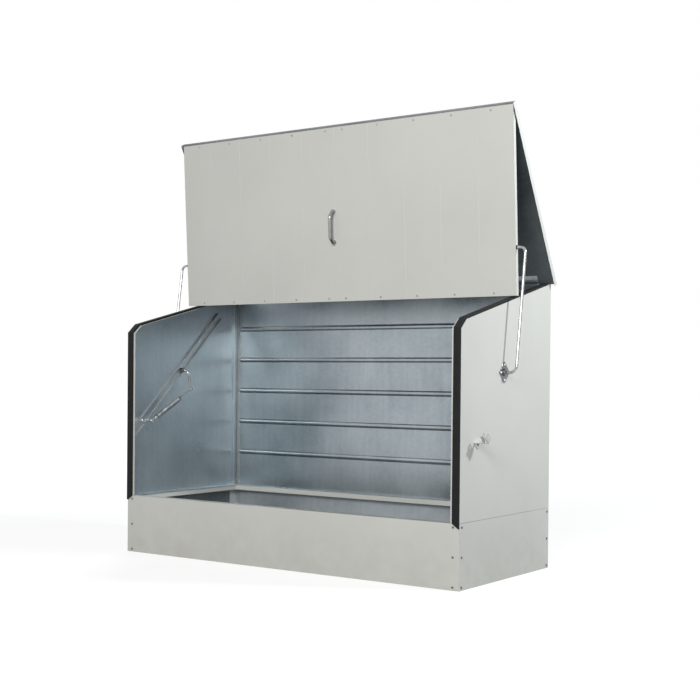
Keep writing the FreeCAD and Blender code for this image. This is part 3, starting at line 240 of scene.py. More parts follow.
def painted_sheet(name, inside, zinc, band=None, seam_height=-1.0, press_pitch=0.0, chalk=0.0, grime=0.0):
    """Sheet painted on the face turned away from a point inside the shelter, and bare zinc on the other.
    band is an axis, two distances from the middle and two tones: the zinc between them has these tones, or is
    painted like the other face where the sheet is folded over and there are no tones.
    The joint at seam_height gets a dark line of painted shadow with some dirt, and press lines press_pitch
    apart get a painted highlight.
    Paint that the sun has chalked is duller by chalk, and soiled zinc is duller by grime."""
    material, tree, shader = new_material(name)
    place = add(tree, "ShaderNodeTexCoord")
    spot = add(tree, "ShaderNodeSeparateXYZ", Vector=place.outputs["Object"])
    away = add(tree, "ShaderNodeVectorMath", {"operation": "SUBTRACT"})
    tree.links.new(place.outputs["Object"], away.inputs[0])
    away.inputs[1].default_value = inside
    facing = add(tree, "ShaderNodeVectorMath", {"operation": "DOT_PRODUCT"})
    tree.links.new(away.outputs[0], facing.inputs[0])
    tree.links.new(place.outputs["Normal"], facing.inputs[1])
    painted = calc(tree, "GREATER_THAN", facing.outputs["Value"], 0.0)
    skin = use_group(tree, zinc_skin, Crystal_Size=70.0, Crystal_Depth=0.14, Cloud_Depth=0.62)
    rub = use_group(tree, edge_rub, Breakup=80.0)
    dust = use_group(tree, ground_dust, Reach=0.3, Amount=0.3)

    fade = add(tree, "ShaderNodeTexNoise", Vector=place.outputs["Object"], Scale=1.6, Detail=6.0)
    fade_mask = spread(tree, fade.outputs[0], 0.35, 0.7, 0.0, 0.8)
    paint = blend_colour(tree, fade_mask, SATIN_GREY, FADED_GREY)
    # Press lines: a painted highlight along each groove, broken up by noise.
    if press_pitch:
        across = add(tree, "ShaderNodeMath", {"operation": "PINGPONG"})
        tree.links.new(spot.outputs["X"], across.inputs[0])
        across.inputs[1].default_value = press_pitch / 2
        on_line = calc(tree, "LESS_THAN", across.outputs[0], PRESS_LINE_REACH)
        line_highlight = calc(tree, "MULTIPLY", on_line, spread(tree, fade.outputs[0], 0.42, 0.6, 0.0, 0.4))
        paint = blend_colour(tree, line_highlight, paint, PRESS_LINE_HIGHLIGHT)
    chipped = blend_colour(tree, rub.outputs["Mask"], paint, RUBBED_PAINT)
    dusty = blend_colour(tree, dust.outputs["Mask"], chipped, SPLASHED_MUD)
    # A dark line at the joint: painted shadow of the groove between the panels, with some dirt, broken up by
    # noise.
    at_seam = add(tree, "ShaderNodeMath", {"operation": "COMPARE"})
    tree.links.new(spot.outputs["Z"], at_seam.inputs[0])
    at_seam.inputs[1].default_value = seam_height
    at_seam.inputs[2].default_value = SEAM_REACH
    seam_shade_and_dirt = calc(tree, "MULTIPLY", at_seam.outputs[0], spread(tree, fade.outputs[0], 0.4, 0.6, 0.1, 0.7))
    seamed = blend_colour(tree, seam_shade_and_dirt, dusty, SEAM_SHADE_AND_DIRT)

    bare = blend_colour(tree, skin.outputs["Shade"], *zinc)
    if band:
        axis, start, stop, band_tones = band
        reach = add(tree, "ShaderNodeMath", {"operation": "ABSOLUTE"})
        tree.links.new(spot.outputs[axis], reach.inputs[0])
        past_start = calc(tree, "GREATER_THAN", reach.outputs[0], start)
        before_stop = calc(tree, "LESS_THAN", reach.outputs[0], stop)
        in_band = calc(tree, "MULTIPLY", past_start, before_stop)
        if band_tones:
            bare = blend_colour(tree, in_band, bare, blend_colour(tree, skin.outputs["Shade"], *band_tones))
        else:
            painted = calc(tree, "MAXIMUM", painted, in_band)
    tree.links.new(blend_colour(tree, painted, bare, seamed), shader.inputs["Base Color"])
    tree.links.new(calc(tree, "SUBTRACT", 1.0, painted), shader.inputs["Metallic"])
    zinc_shine = spread(tree, skin.outputs["Dullness"], 0.0, 1.0, 0.26 + grime, 0.4 + grime)
    paint_shine = spread(tree, fade.outputs[0], 0.3, 0.7, 0.42 + chalk, 0.52 + chalk)
    shine = blend_colour(tree, painted, zinc_shine, paint_shine)
    tree.links.new(shine, shader.inputs["Roughness"])
    shader.inputs["Specular IOR Level"].default_value = 0.5 - chalk

    waves = add(tree, "ShaderNodeTexNoise", Vector=place.outputs["Object"], Scale=2.2, Detail=1.0)
    peel = add(tree, "ShaderNodeTexNoise", Vector=place.outputs["Object"], Scale=420.0, Detail=2.0)
    wave_bump = add(tree, "ShaderNodeBump", Strength=0.25, Distance=0.012, Height=waves.outputs[0])
    tree.links.new(rub.outputs["Normal"], wave_bump.inputs["Normal"])
    peel_bump = add(tree, "ShaderNodeBump", Strength=0.06, Distance=0.0004, Height=peel.outputs[0])
    tree.links.new(wave_bump.outputs[0], peel_bump.inputs["Normal"])
    tree.links.new(peel_bump.outputs[0], shader.inputs["Normal"])
    return material


BOX_MIDDLE = (0.0, 0.0, 0.6)
SILL_HEIGHT = 0.285
PAINTED_LIP = ("Z", 0.2595, 0.3, None)
# Painted shade: the lower side panels' zinc is made darker than the rest, for the shade in the low inside
# corners.
SHADED_LOW_ZINC = ((0.13, 0.145, 0.15, 1.0), (0.25, 0.27, 0.28, 1.0))
PALE_ZINC = ((0.36, 0.4, 0.43, 1.0), (0.58, 0.62, 0.65, 1.0))
end_paint = painted_sheet("end_paint", BOX_MIDDLE, SHADED_LOW_ZINC, PAINTED_LIP, SILL_HEIGHT, grime=0.25)
base_paint = painted_sheet("base_paint", BOX_MIDDLE, PALE_ZINC, PAINTED_LIP, SILL_HEIGHT, grime=0.3)
wear(["lower_side_left", "lower_side_right"], end_paint)
wear(["front_sill", "lower_back"], base_paint)

# Corner brackets: steel angles inside the lower corners, dip galvanised after bending.
# The panels are screwed to them from outside, and the panels' folded lips cover their tops.
# Thicker zinc gives them a coarser spangle than the sheets.
thick_zinc = zinc_sheet("thick_zinc", (0.4, 0.43, 0.45, 1.0), (0.6, 0.64, 0.66, 1.0), 90.0, 0.34, 0.48)
for end in ("front", "rear"):
    wear([f"corner_bracket_{end}_left", f"corner_bracket_{end}_right"], thick_zinc)

# Upper walls: two profiled sides and a beaded back, from the same coated sheet as the lower tier.
# Their flanges are folded inwards and stiffen the mouth of the box.
# A bright band of zinc along the back wall's upright folds near the corners is a painted highlight.
SIDE_ZINC = ((0.36, 0.41, 0.44, 1.0), (0.56, 0.615, 0.65, 1.0))
# Painted shade: the back wall's zinc is darker than the sides', for the shade deep inside the box.
SHADED_BACK_ZINC = ((0.25, 0.29, 0.315, 1.0), (0.47, 0.52, 0.55, 1.0))
# Painted highlight: bright zinc tones for the band on the back wall's corner folds
FOLD_HIGHLIGHT = ((0.8, 0.82, 0.82, 1.0), (0.95, 0.96, 0.96, 1.0))
CORNER_FOLD_HIGHLIGHT = ("X", 0.936, 0.957, FOLD_HIGHLIGHT)
side_paint = painted_sheet("side_paint", BOX_MIDDLE, SIDE_ZINC, None, SILL_HEIGHT)
back_paint = painted_sheet("back_paint", BOX_MIDDLE, SHADED_BACK_ZINC, CORNER_FOLD_HIGHLIGHT, SILL_HEIGHT)
wear(["upper_side_left", "upper_side_right"], side_paint)
wear(["upper_back"], back_paint)


# Edge strips: black rubber pushed on along the front, nose and slope of each side wall.
# They seal the lid and cushion its fall. The rubber is extruded, matt, and greys a little with weather.
def matt_rubber(name, dark, grey):
    """Extruded rubber with a weathered bloom and fine drag lines."""
    material, tree, shader = new_material(name)
    place = add(tree, "ShaderNodeTexCoord")
    bloom = add(tree, "ShaderNodeTexNoise", Vector=place.outputs["Object"], Scale=18.0, Detail=6.0)
    bloom_mask = spread(tree, bloom.outputs[0], 0.4, 0.75, 0.0, 1.0)
    tree.links.new(blend_colour(tree, bloom_mask, dark, grey), shader.inputs["Base Color"])
    tree.links.new(spread(tree, bloom.outputs[0], 0.3, 0.7, 0.6, 0.8), shader.inputs["Roughness"])
    shader.inputs["Specular IOR Level"].default_value = 0.2
    drag_way = add(tree, "ShaderNodeMapping", Vector=place.outputs["Object"], Scale=(700.0, 30.0, 30.0))
    drag = add(tree, "ShaderNodeTexNoise", Vector=drag_way.outputs[0], Scale=1.0, Detail=3.0)
    bump = add(tree, "ShaderNodeBump", Strength=0.3, Distance=0.0005, Height=drag.outputs[0])
    tree.links.new(bump.outputs[0], shader.inputs["Normal"])
    return material


strip_rubber = matt_rubber("strip_rubber", (0.006, 0.0065, 0.007, 1.0), (0.015, 0.016, 0.017, 1.0))
STRIP_ROUNDING = 0.0025
MERGE_REACH = 0.00001


def merge_touching():
    """Joins the active piece's points that lie on one another."""
    bpy.ops.object.mode_set(mode="EDIT")
    bpy.ops.mesh.select_all(action="SELECT")
    bpy.ops.mesh.remove_doubles(threshold=MERGE_REACH)
    bpy.ops.object.mode_set(mode="OBJECT")


def merged_copy(node, name):
    """A new object with a CAD piece's shape, its loose triangles joined up."""
    bpy.ops.object.select_all(action="DESELECT")
    copy = bpy.data.objects.new(name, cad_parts[node].data.copy())
    bpy.context.scene.collection.objects.link(copy)
    copy.select_set(True)
    bpy.context.view_layer.objects.active = copy
    bpy.ops.mesh.customdata_custom_splitnormals_clear()
    merge_touching()
    return copy


for side_name in ("left", "right"):
    strip = merged_copy(f"edge_strip_{side_name}", f"soft_strip_{side_name}")
    bpy.ops.object.mode_set(mode="EDIT")
    bpy.ops.mesh.dissolve_limited(angle_limit=math.radians(1))
    bpy.ops.object.mode_set(mode="OBJECT")
    rounding = strip.modifiers.new("rounding", "BEVEL")
    rounding.width = STRIP_ROUNDING
    rounding.segments = 3
    rounding.limit_method = "ANGLE"
    rounding.angle_limit = math.radians(40)
    bpy.ops.object.modifier_apply(modifier="rounding")
    merge_touching()
    bpy.ops.object.shade_smooth_by_angle(angle=math.radians(45))
    strip.data.materials.clear()
    strip.data.materials.append(strip_rubber)
    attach(strip, "box")
    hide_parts(f"edge_strip_{side_name}")

# Side braces: pressed channels welded slantwise inside each wall, which carry the rods' load.
# They are dip galvanised after bending, like the brackets.
wear(["side_brace_left", "side_brace_right"], thick_zinc)

# Rod bearings: square steel plates set on their corner and riveted through the wall, each with a turned boss.
# They are dip galvanised after welding and have gone dull and blotchy, with bright rims.
plate_zinc = zinc_sheet("plate_zinc", (0.06, 0.062, 0.065, 1.0), (0.34, 0.35, 0.36, 1.0), 190.0, 0.2, 0.42)
wear(["pivot_bearing_left", "pivot_bearing_right"], plate_zinc)


# Rod catches: bent plates on both walls that take the lowered rods and a padlock.
# They are painted with the panels, and the padlock wears their ears through to metal.
def worn_coat(name, coat, worn, bare, rough, breakup):
    """Thin paint on steel, rubbed to bare metal along its edges."""
    material, tree, shader = new_material(name)
    place = add(tree, "ShaderNodeTexCoord")
    rub = use_group(tree, edge_rub, Breakup=breakup)
    tone = add(tree, "ShaderNodeTexNoise", Vector=place.outputs["Object"], Scale=45.0, Detail=6.0)
    tone_mask = spread(tree, tone.outputs[0], 0.35, 0.7, 0.0, 1.0)
    mixed = blend_colour(tree, tone_mask, coat, worn)
    tree.links.new(blend_colour(tree, rub.outputs["Mask"], mixed, bare), shader.inputs["Base Color"])
    tree.links.new(rub.outputs["Mask"], shader.inputs["Metallic"])
    tree.links.new(spread(tree, tone.outputs[0], 0.3, 0.7, rough, rough + 0.15), shader.inputs["Roughness"])
    bump = add(tree, "ShaderNodeBump", Strength=0.15, Distance=0.0005, Height=tone.outputs[0])
    tree.links.new(rub.outputs["Normal"], bump.inputs["Normal"])
    tree.links.new(bump.outputs[0], shader.inputs["Normal"])
    return material


catch_paint = worn_coat(
    "catch_paint", (0.46, 0.465, 0.445, 1.0), (0.56, 0.565, 0.54, 1.0), (0.6, 0.61, 0.62, 1.0), 0.42, 120.0
)
wear(["rod_catch_left", "rod_catch_right"], catch_paint)


# Spring studs: turned pins on the braces that hold the springs' eyes, zinc plated.
# Plated bar is bright, with fine drawing lines and duller patches.
def plated_bar(name, bright, dull, rough_low, rough_high):
    """Zinc-plated or drawn round bar with fine lines and dull patches."""
    material, tree, shader = new_material(name)
    place = add(tree, "ShaderNodeTexCoord")
    patches = add(tree, "ShaderNodeTexNoise", Vector=place.outputs["Object"], Scale=28.0, Detail=6.0)
    patch_mask = spread(tree, patches.outputs[0], 0.38, 0.68, 0.0, 1.0)
    lines_way = add(tree, "ShaderNodeMapping", Vector=place.outputs["Object"], Scale=(900.0, 900.0, 30.0))
    lines = add(tree, "ShaderNodeTexNoise", Vector=lines_way.outputs[0], Scale=1.0, Detail=2.0)
    tree.links.new(blend_colour(tree, patch_mask, bright, dull), shader.inputs["Base Color"])
    shader.inputs["Metallic"].default_value = 1.0
    shine = spread(tree, patches.outputs[0], 0.3, 0.7, rough_low, rough_high)
    tree.links.new(shine, shader.inputs["Roughness"])
    bump = add(tree, "ShaderNodeBump", Strength=0.12, Distance=0.0002, Height=lines.outputs[0])
    tree.links.new(bump.outputs[0], shader.inputs["Normal"])
    return material


bright_zinc = plated_bar("bright_zinc", (0.78, 0.79, 0.79, 1.0), (0.6, 0.61, 0.6, 1.0), 0.2, 0.34)
wear(["spring_stud_left", "spring_stud_right"], bright_zinc)

# Rear hinge: a long piano hinge along the top of the back wall, its fixed leaf and its pin.
# The leaf is galvanised strip with rolled knuckles; the pin is bright drawn wire.
hinge_strip = zinc_sheet("hinge_strip", (0.38, 0.42, 0.44, 1.0), (0.56, 0.6, 0.62, 1.0), 140.0, 0.3, 0.4)
wear(["rear_hinge_leaf"], hinge_strip)
wear(["rear_hinge_pin"], bright_zinc)

# Screws and rivets of the box: pan heads with a cross recess, and blind rivets with a hollow stem.
# They are zinc plated steel, set from outside through both sheets.
# They weather darker than the paint around them, and look like dark dots from afar.
HEAD_SIDES = 16
HEAD_RADIUS = 0.00475
HEAD_HEIGHT = 0.0032
SHANK_RADIUS = 0.0025
SCREW_SHANK = 0.01
SCREW_ROUNDING = 0.0016
RECESS_BLADE = (0.0011, 0.0052, 0.0036)
RIVET_SHANK = 0.0038
RIVET_ROUNDING = 0.0021
STEM_RIM = 0.0013
STEM_DEPTH = 0.0014
BELOW_HEAD = -HEAD_HEIGHT - 0.001
SQUARE_ON = 0.9
TOUCHING = 0.0001
SIDE_WALL_X = 0.955
TURN_BETWEEN_HEADS = 2.4


def pick_faces(piece, test):
    """Goes into edit mode with only those faces of a piece selected that pass a test."""
    bpy.ops.object.mode_set(mode="EDIT")
    bpy.ops.mesh.select_mode(type="FACE")
    bpy.ops.mesh.select_all(action="DESELECT")
    bpy.ops.object.mode_set(mode="OBJECT")
    for face in piece.data.polygons:
        face.select = test(face)
    bpy.ops.object.mode_set(mode="EDIT")


def domed_fastener(name, shank_length, rounding):
    """A fastener with the top of its round head at the origin and its shank hanging down."""
    bpy.ops.object.select_all(action="DESELECT")
    bpy.ops.mesh.primitive_cylinder_add(vertices=HEAD_SIDES, radius=HEAD_RADIUS, depth=HEAD_HEIGHT)
    fastener = bpy.context.active_object
    fastener.name = name
    fastener.location = (0, 0, -HEAD_HEIGHT / 2)
    bpy.ops.object.transform_apply(location=True, rotation=False, scale=False)
    pick_faces(fastener, lambda face: face.normal.z > SQUARE_ON)
    bpy.ops.mesh.bevel(offset=rounding, segments=3, affect="EDGES")
    pick_faces(fastener, lambda face: face.normal.z < -SQUARE_ON)
    bpy.ops.mesh.inset(thickness=HEAD_RADIUS - SHANK_RADIUS, depth=0)
    bpy.ops.mesh.extrude_region_move(TRANSFORM_OT_translate={"value": (0, 0, -shank_length)})
    bpy.ops.object.mode_set(mode="OBJECT")
    return fastener


cross_screw = domed_fastener("cross_screw", SCREW_SHANK, SCREW_ROUNDING)
for quarter in (0, 1):
    bpy.ops.object.select_all(action="DESELECT")
    bpy.ops.mesh.primitive_cube_add(size=1)
    blade = bpy.context.active_object
    blade.scale = RECESS_BLADE
    blade.rotation_euler = (0, 0, quarter * math.pi / 2)
    bpy.ops.object.transform_apply(location=False, rotation=True, scale=True)
    recess = cross_screw.modifiers.new("recess", "BOOLEAN")
    recess.operation = "DIFFERENCE"
    recess.object = blade
    bpy.context.view_layer.objects.active = cross_screw
    bpy.ops.object.modifier_apply(modifier="recess")
    bpy.data.objects.remove(blade)

blind_rivet = domed_fastener("blind_rivet", RIVET_SHANK, RIVET_ROUNDING)
pick_faces(blind_rivet, lambda face: face.normal.z > SQUARE_ON and face.center.z > -TOUCHING)
bpy.ops.mesh.inset(thickness=STEM_RIM, depth=0)
bpy.ops.mesh.extrude_region_move(TRANSFORM_OT_translate={"value": (0, 0, -STEM_DEPTH)})
bpy.ops.object.mode_set(mode="OBJECT")


def end_ring(points, way):
    """Middle and radius of the outermost points of a solid, looking along a way."""
    top = max(point.dot(way) for point in points)
    ring = [point for point in points if point.dot(way) > top - TOUCHING]
    middle = sum(ring, Vector()) / len(ring)
    return middle, max((point - middle).length for point in ring)


def set_fasteners(node, body, model, axis_at, finish):
    """Sets a copy of a modelled fastener in each place of a CAD group, with its head and length there."""
    merged_copy(node, f"{node}_places")
    bpy.ops.object.mode_set(mode="EDIT")
    bpy.ops.mesh.separate(type="LOOSE")
    bpy.ops.object.mode_set(mode="OBJECT")
    places = sorted(bpy.context.selected_objects, key=lambda item: item.name)
    copies = []
    for number, place in enumerate(places):
        points = [vertex.co.copy() for vertex in place.data.vertices]
        axis = axis_at(points[0])
        ends = [(end_ring(points, way), way) for way in (axis, -axis)]
        (crown, _), outward = max(ends, key=lambda item: item[0][1])
        copy = bpy.data.objects.new(f"{node}_{number}", model.data.copy())
        bpy.context.scene.collection.objects.link(copy)
        shank_end = min((point - crown).dot(outward) for point in points)
        for vertex in copy.data.vertices:
            if vertex.co.z < BELOW_HEAD:
                vertex.co.z = shank_end
        stand = outward.to_track_quat("Z", "Y").to_matrix().to_4x4()
        twist = Matrix.Rotation(number * TURN_BETWEEN_HEADS, 4, "Z")
        copy.matrix_world = Matrix.Translation(crown) @ stand @ twist
        copies.append(copy)
        bpy.data.objects.remove(place)
    bpy.ops.object.select_all(action="DESELECT")
    for copy in copies:
        copy.select_set(True)
    bpy.context.view_layer.objects.active = copies[0]
    bpy.ops.object.join()
    bpy.ops.object.transform_apply(location=True, rotation=True, scale=True)
    bpy.ops.object.shade_smooth_by_angle(angle=math.radians(35))
    fitted = bpy.context.active_object
    fitted.name = f"fitted_{node}"
    fitted.data.materials.append(finish)
    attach(fitted, body)
    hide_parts(node)


def level_axis(point):
    """Along X on a side wall, and along Y on the front or back."""
    on_side = abs(point.x) > SIDE_WALL_X
    return Vector((1.0, 0.0, 0.0)) if on_side else Vector((0.0, 1.0, 0.0))


dull_heads = plated_bar("dull_heads", (0.16, 0.165, 0.17, 1.0), (0.08, 0.08, 0.085, 1.0), 0.35, 0.55)
for node in ("base_screws_front", "base_screws_rear", "rear_hinge_screws"):
    set_fasteners(node, "box", cross_screw, level_axis, dull_heads)
set_fasteners("catch_rivets", "box", blind_rivet, level_axis, dull_heads)
set_fasteners("bearing_rivets", "box", blind_rivet, level_axis, bright_zinc)

# Roof: a shallow tray of the same coated sheet, hinged at the rear and tipped back to open.
# Three pressed ribs stiffen it from below, and its two hinge leaves are riveted under the edges.
# The sun has chalked its paint, and condensation has roughened the zinc beneath. That zinc is darkened as
# painted shade, less so along the front lip.
roof_low, roof_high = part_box("roof_skin")
roof_middle = (roof_low + roof_high) / 2
ROOF_TIP = math.radians(60.9)
roof_out = Vector((0.0, math.sin(ROOF_TIP), math.cos(ROOF_TIP)))
# Painted shade: the zinc under the roof is made dark, and its front lip band less so.
SHADED_ROOF_ZINC = ((0.1, 0.118, 0.125, 1.0), (0.19, 0.212, 0.224, 1.0))
LIP_ZINC = ((0.3, 0.315, 0.325, 1.0), (0.42, 0.435, 0.445, 1.0))
ROOF_LIP = ("Z", 2.095, 2.2, LIP_ZINC)
roof_inside = tuple(roof_middle - roof_out)
roof_paint = painted_sheet("roof_paint", roof_inside, SHADED_ROOF_ZINC, ROOF_LIP, chalk=0.32, grime=0.3)
wear(["roof_skin"], roof_paint)
wear(["roof_rear_leaf", "roof_front_leaf"], hinge_strip)
wear(["roof_rib_1", "roof_rib_2", "roof_rib_3"], tray_zinc)
set_fasteners("roof_rivets", "roof", blind_rivet, lambda point: roof_out, dull_heads)

# Door: a flat tray that hangs from the roof's front edge, with faint upright press lines on its face.
# Folded rails stiffen its head and foot, and nylon bushes in its side flanges take the lift rods.
door_low, door_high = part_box("door_skin")
door_middle = (door_low + door_high) / 2
DOOR_TILT = math.radians(3.4)
DOOR_ZINC = ((0.28, 0.32, 0.35, 1.0), (0.46, 0.51, 0.54, 1.0))
PRESS_PITCH = 0.2
door_back = Vector((0.0, math.cos(DOOR_TILT), math.sin(DOOR_TILT)))
# The door's paint carries a painted highlight along each press line.
door_paint = painted_sheet("door_paint", tuple(door_middle + door_back), DOOR_ZINC, press_pitch=PRESS_PITCH)
wear(["door_skin"], door_paint)
wear(["door_hinge_leaf"], hinge_strip)
wear(["door_hinge_pin"], bright_zinc)
wear(["door_top_rail", "door_foot_rail"], tray_zinc)
pale_heads = plated_bar("pale_heads", (0.42, 0.42, 0.41, 1.0), (0.3, 0.3, 0.3, 1.0), 0.3, 0.5)
set_fasteners("door_top_rivets", "door", blind_rivet, lambda point: door_back, pale_heads)
for node in ("door_foot_screws", "handle_screws"):
    set_fasteners(node, "door", cross_screw, lambda point: door_back, pale_heads)
for model in (cross_screw, blind_rivet):
    bpy.data.objects.remove(model)
bush_nylon = matt_rubber("bush_nylon", (0.02, 0.02, 0.021, 1.0), (0.045, 0.045, 0.046, 1.0))
wear(["rod_bush_left", "rod_bush_right"], bush_nylon)

# Handle: a bent round bar with flat feet, screwed to the door from inside.
# It is chrome plated, with light finger smears on the grip.
chrome = plated_bar("chrome", (0.36, 0.365, 0.36, 1.0), (0.25, 0.255, 0.25, 1.0), 0.08, 0.2)
wear(["door_handle"], chrome)

# Lift rods: one bent round bar on each side, from the crank inside the wall to the pin in the door.
# The bar is zinc plated, and a ring pressed on its upper end keeps it in the door's bush.
rod_zinc = plated_bar("rod_zinc", (0.42, 0.43, 0.435, 1.0), (0.3, 0.305, 0.31, 1.0), 0.1, 0.2)
wear(["lift_rod_left", "lift_rod_right", "rod_clip_left", "rod_clip_right"], rod_zinc)

# Assist springs: closely wound tension springs that carry part of the lid's weight.
# Each is coiled from oiled drawn wire, with its ends bent into collars, and stretches as the lid comes down.
wear(["spring_eye_left", "spring_eye_right", "spring_drawbar_left", "spring_drawbar_right"], bright_zinc)
spring_steel = plated_bar("spring_steel", (0.4, 0.415, 0.43, 1.0), (0.24, 0.25, 0.26, 1.0), 0.34, 0.5)
SPRING_FOOT = Vector((0.0, -0.3227, 0.664246))
SPRING_TURN = math.radians(28.0545)
SPRING_LINE = Vector((0.0, math.cos(SPRING_TURN), math.sin(SPRING_TURN)))
SPRING_X = 0.902
COIL_START = 0.032
COIL_END = 0.2328
COIL_RADIUS = 0.011
WIRE_RADIUS = 0.002
WIRE_SIDES = 12
STEPS_PER_HALF_TURN = 12
HALF_TURNS = 77
COIL_PITCH = 0.0046
COIL_RISE = HALF_TURNS * COIL_PITCH / 2
LEAD_LENGTH = (COIL_END - COIL_START - COIL_RISE) / 2
LEAD_BEND = 0.004
LEAD_STEPS = 5
END_RING_REACH = WIRE_RADIUS * 1.05
for side_name, side in (("left", -1), ("right", 1)):
    bpy.ops.object.select_all(action="DESELECT")
    bpy.ops.mesh.primitive_circle_add(vertices=WIRE_SIDES, radius=WIRE_RADIUS, location=(0, 0, 0))
    spring = bpy.context.active_object
    spring.name = f"coil_{side_name}"
    bpy.ops.object.mode_set(mode="EDIT")
    bpy.ops.mesh.select_all(action="SELECT")
    bpy.ops.transform.rotate(value=math.pi / 2, orient_axis="Y", center_override=(0, 0, 0))
    bpy.ops.transform.translate(value=(0, COIL_RADIUS, 0))
    bpy.ops.object.mode_set(mode="OBJECT")
    winding = spring.modifiers.new("winding", "SCREW")
    winding.axis = "Z"
    winding.angle = -math.pi
    winding.steps = STEPS_PER_HALF_TURN
    winding.render_steps = STEPS_PER_HALF_TURN
    winding.iterations = HALF_TURNS
    winding.screw_offset = COIL_PITCH / 2
    bpy.ops.object.modifier_apply(modifier="winding")
    for height, way in ((0.0, -1), (COIL_RISE, 1)):
        bpy.ops.object.mode_set(mode="EDIT")
        bpy.ops.mesh.select_mode(type="VERT")
        bpy.ops.mesh.select_all(action="DESELECT")
        bpy.ops.object.mode_set(mode="OBJECT")
        for vertex in spring.data.vertices:
            at_end = (vertex.co.z - height) * way > -END_RING_REACH
            on_ring = vertex.co.y * way < 0 and abs(vertex.co.x) < MERGE_REACH
            vertex.select = at_end and on_ring
        bpy.ops.object.mode_set(mode="EDIT")
        hub = (0, -way * COIL_RADIUS, height + way * LEAD_BEND)
        bpy.ops.mesh.spin(steps=LEAD_STEPS, angle=math.pi / 2, center=hub, axis=(0, way, 0))
        straight = {"value": (0, 0, way * (LEAD_LENGTH - LEAD_BEND))}
        bpy.ops.mesh.extrude_region_move(TRANSFORM_OT_translate=straight)
        bpy.ops.mesh.edge_face_add()
        bpy.ops.object.mode_set(mode="OBJECT")
    bpy.ops.object.mode_set(mode="EDIT")
    bpy.ops.mesh.select_all(action="SELECT")
    bpy.ops.mesh.remove_doubles(threshold=MERGE_REACH)
    # The turns inside one another mislead the recalculation, which leaves the faces looking into the wire.
    bpy.ops.mesh.normals_make_consistent(inside=False)
    bpy.ops.mesh.flip_normals()
    bpy.ops.object.mode_set(mode="OBJECT")
    spring.rotation_euler = (SPRING_TURN - math.pi / 2, 0, 0)
    base = SPRING_FOOT + SPRING_LINE * (COIL_START + LEAD_LENGTH)
    spring.location = (SPRING_X * side, base.y, base.z)
    bpy.ops.object.transform_apply(location=True, rotation=True, scale=True)
    bpy.ops.object.shade_smooth_by_angle(angle=math.radians(50))
    spring.data.materials.append(spring_steel)
    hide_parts(f"assist_spring_{side_name}")
    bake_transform(spring)


# Studio: a plain pale floor and white surroundings, as round a product stood in a white bay.
# A large soft lamp in front lights the door, a small one at the upper right models the side wall,
# and a third behind, not mirrored in the steel, keeps the back and left wall from going dull.
def seen_plainly(tree):
    """1 for rays straight from the camera, from a mirror or through glass, and 0 for scattered light."""
    rays = add(tree, "ShaderNodeLightPath")
    seen = calc(tree, "MAXIMUM", rays.outputs["Is Camera Ray"], rays.outputs["Is Glossy Ray"])
    return calc(tree, "MAXIMUM", seen, rays.outputs["Is Transmission Ray"])


FLOOR_SPAN = 80
FLOOR_DROP = 0.0005
bpy.ops.object.select_all(action="DESELECT")
bpy.ops.mesh.primitive_plane_add(size=FLOOR_SPAN, location=(0, 0, -FLOOR_DROP))
floor = bpy.context.active_object
floor.name = "studio_floor"
floor_material, tree, shader = new_material("studio_floor")
shader.inputs["Base Color"].default_value = (0.3, 0.3, 0.3, 1.0)
shader.inputs["Roughness"].default_value = 0.9
shader.inputs["Specular IOR Level"].default_value = 0.0
place = add(tree, "ShaderNodeTexCoord")
away = add(tree, "ShaderNodeVectorMath", {"operation": "LENGTH"})
tree.links.new(place.outputs["Object"], away.inputs[0])
glow_by_distance = spread(tree, away.outputs["Value"], 2.0, 9.0, 0.74, 0.95)
lift = calc(tree, "MULTIPLY", seen_plainly(tree), glow_by_distance)
glow = add(tree, "ShaderNodeEmission", Color=(1.0, 1.0, 1.0, 1.0), Strength=lift)
both = add(tree, "ShaderNodeAddShader")
tree.links.new(shader.outputs[0], both.inputs[0])
tree.links.new(glow.outputs[0], both.inputs[1])
surface = next(item for item in tree.nodes if item.type == "OUTPUT_MATERIAL")
tree.links.new(both.outputs[0], surface.inputs["Surface"])
floor.data.materials.append(floor_material)

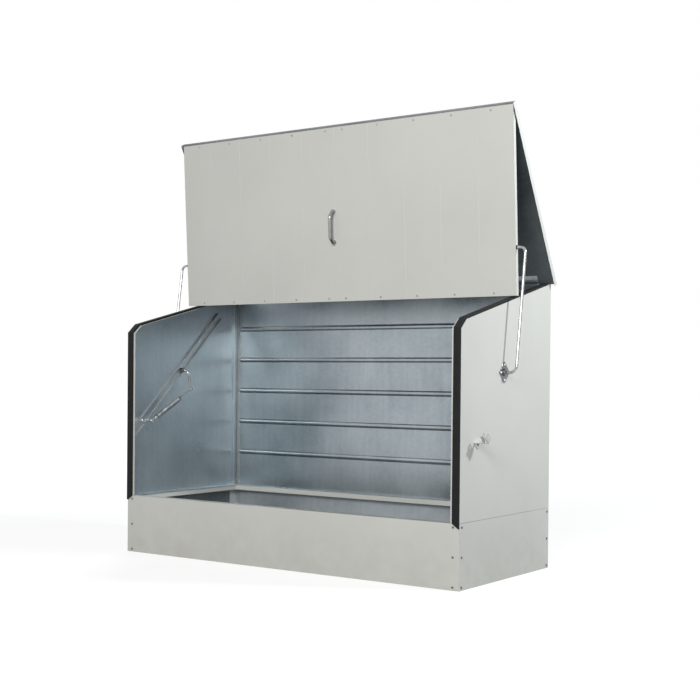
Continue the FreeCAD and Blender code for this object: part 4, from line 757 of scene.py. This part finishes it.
# White surroundings, kept weak as a source of light so that the lamps can shape the shelter
world = bpy.data.worlds.new("studio")
bpy.context.scene.world = world
world.use_nodes = True
tree = world.node_tree
tree.nodes.clear()
soft_sky = add(tree, "ShaderNodeBackground", Color=(0.97, 0.985, 1.0, 1.0), Strength=0.36)
white_sky = add(tree, "ShaderNodeBackground", Color=(1.0, 1.0, 1.0, 1.0), Strength=1.0)
sky = add(tree, "ShaderNodeMixShader", Fac=seen_plainly(tree))
tree.links.new(soft_sky.outputs[0], sky.inputs[1])
tree.links.new(white_sky.outputs[0], sky.inputs[2])
surface = add(tree, "ShaderNodeOutputWorld")
tree.links.new(sky.outputs[0], surface.inputs["Surface"])

LAMP_TARGET = Vector((0.0, 0.0, 1.0))
for lamp_name, spot, size, power, tint in (
    ("front_lamp", (2.5, -6.0, 3.5), 2.0, 317.0, (1.0, 0.99, 0.965)),
    ("side_lamp", (3.2, 0.75, 2.9), 0.3, 76.0, (0.93, 0.975, 1.0)),
    ("rear_lamp", (-4.5, 5.0, 4.2), 3.0, 150.0, (0.97, 0.985, 1.0)),
):
    lamp = bpy.data.lights.new(lamp_name, "AREA")
    lamp.shape = "SQUARE"
    lamp.size = size
    lamp.energy = power
    lamp.color = tint
    holder = bpy.data.objects.new(lamp_name, lamp)
    bpy.context.scene.collection.objects.link(holder)
    holder.location = spot
    holder.visible_glossy = lamp_name != "rear_lamp"
    aim = LAMP_TARGET - Vector(spot)
    holder.rotation_euler = aim.to_track_quat("-Z", "Y").to_euler()

# Camera: the photograph's own station, found from the box's corners in it, at about a person's hip height.
# A small shift gives the photograph's crop.
CAMERA_STATION = (3.6134, -5.0329, 0.9107)
CAMERA_TURN = math.radians(35.458)
CAMERA_DIP = math.radians(0.699)
CAMERA_ROLL = math.radians(0.505)
camera = bpy.data.cameras.new("camera")
camera.lens = 64.8
camera.sensor_width = 36.0
camera.shift_x = 0.01914
camera.shift_y = 0.05629
camera_holder = bpy.data.objects.new("camera", camera)
bpy.context.scene.collection.objects.link(camera_holder)
level = Matrix.Rotation(CAMERA_TURN, 4, "Z") @ Matrix.Rotation(math.pi / 2 - CAMERA_DIP, 4, "X")
station = Matrix.Translation(CAMERA_STATION)
camera_holder.matrix_world = station @ level @ Matrix.Rotation(CAMERA_ROLL, 4, "Z")
bpy.context.scene.camera = camera_holder
bpy.context.scene.view_settings.view_transform = "Standard"
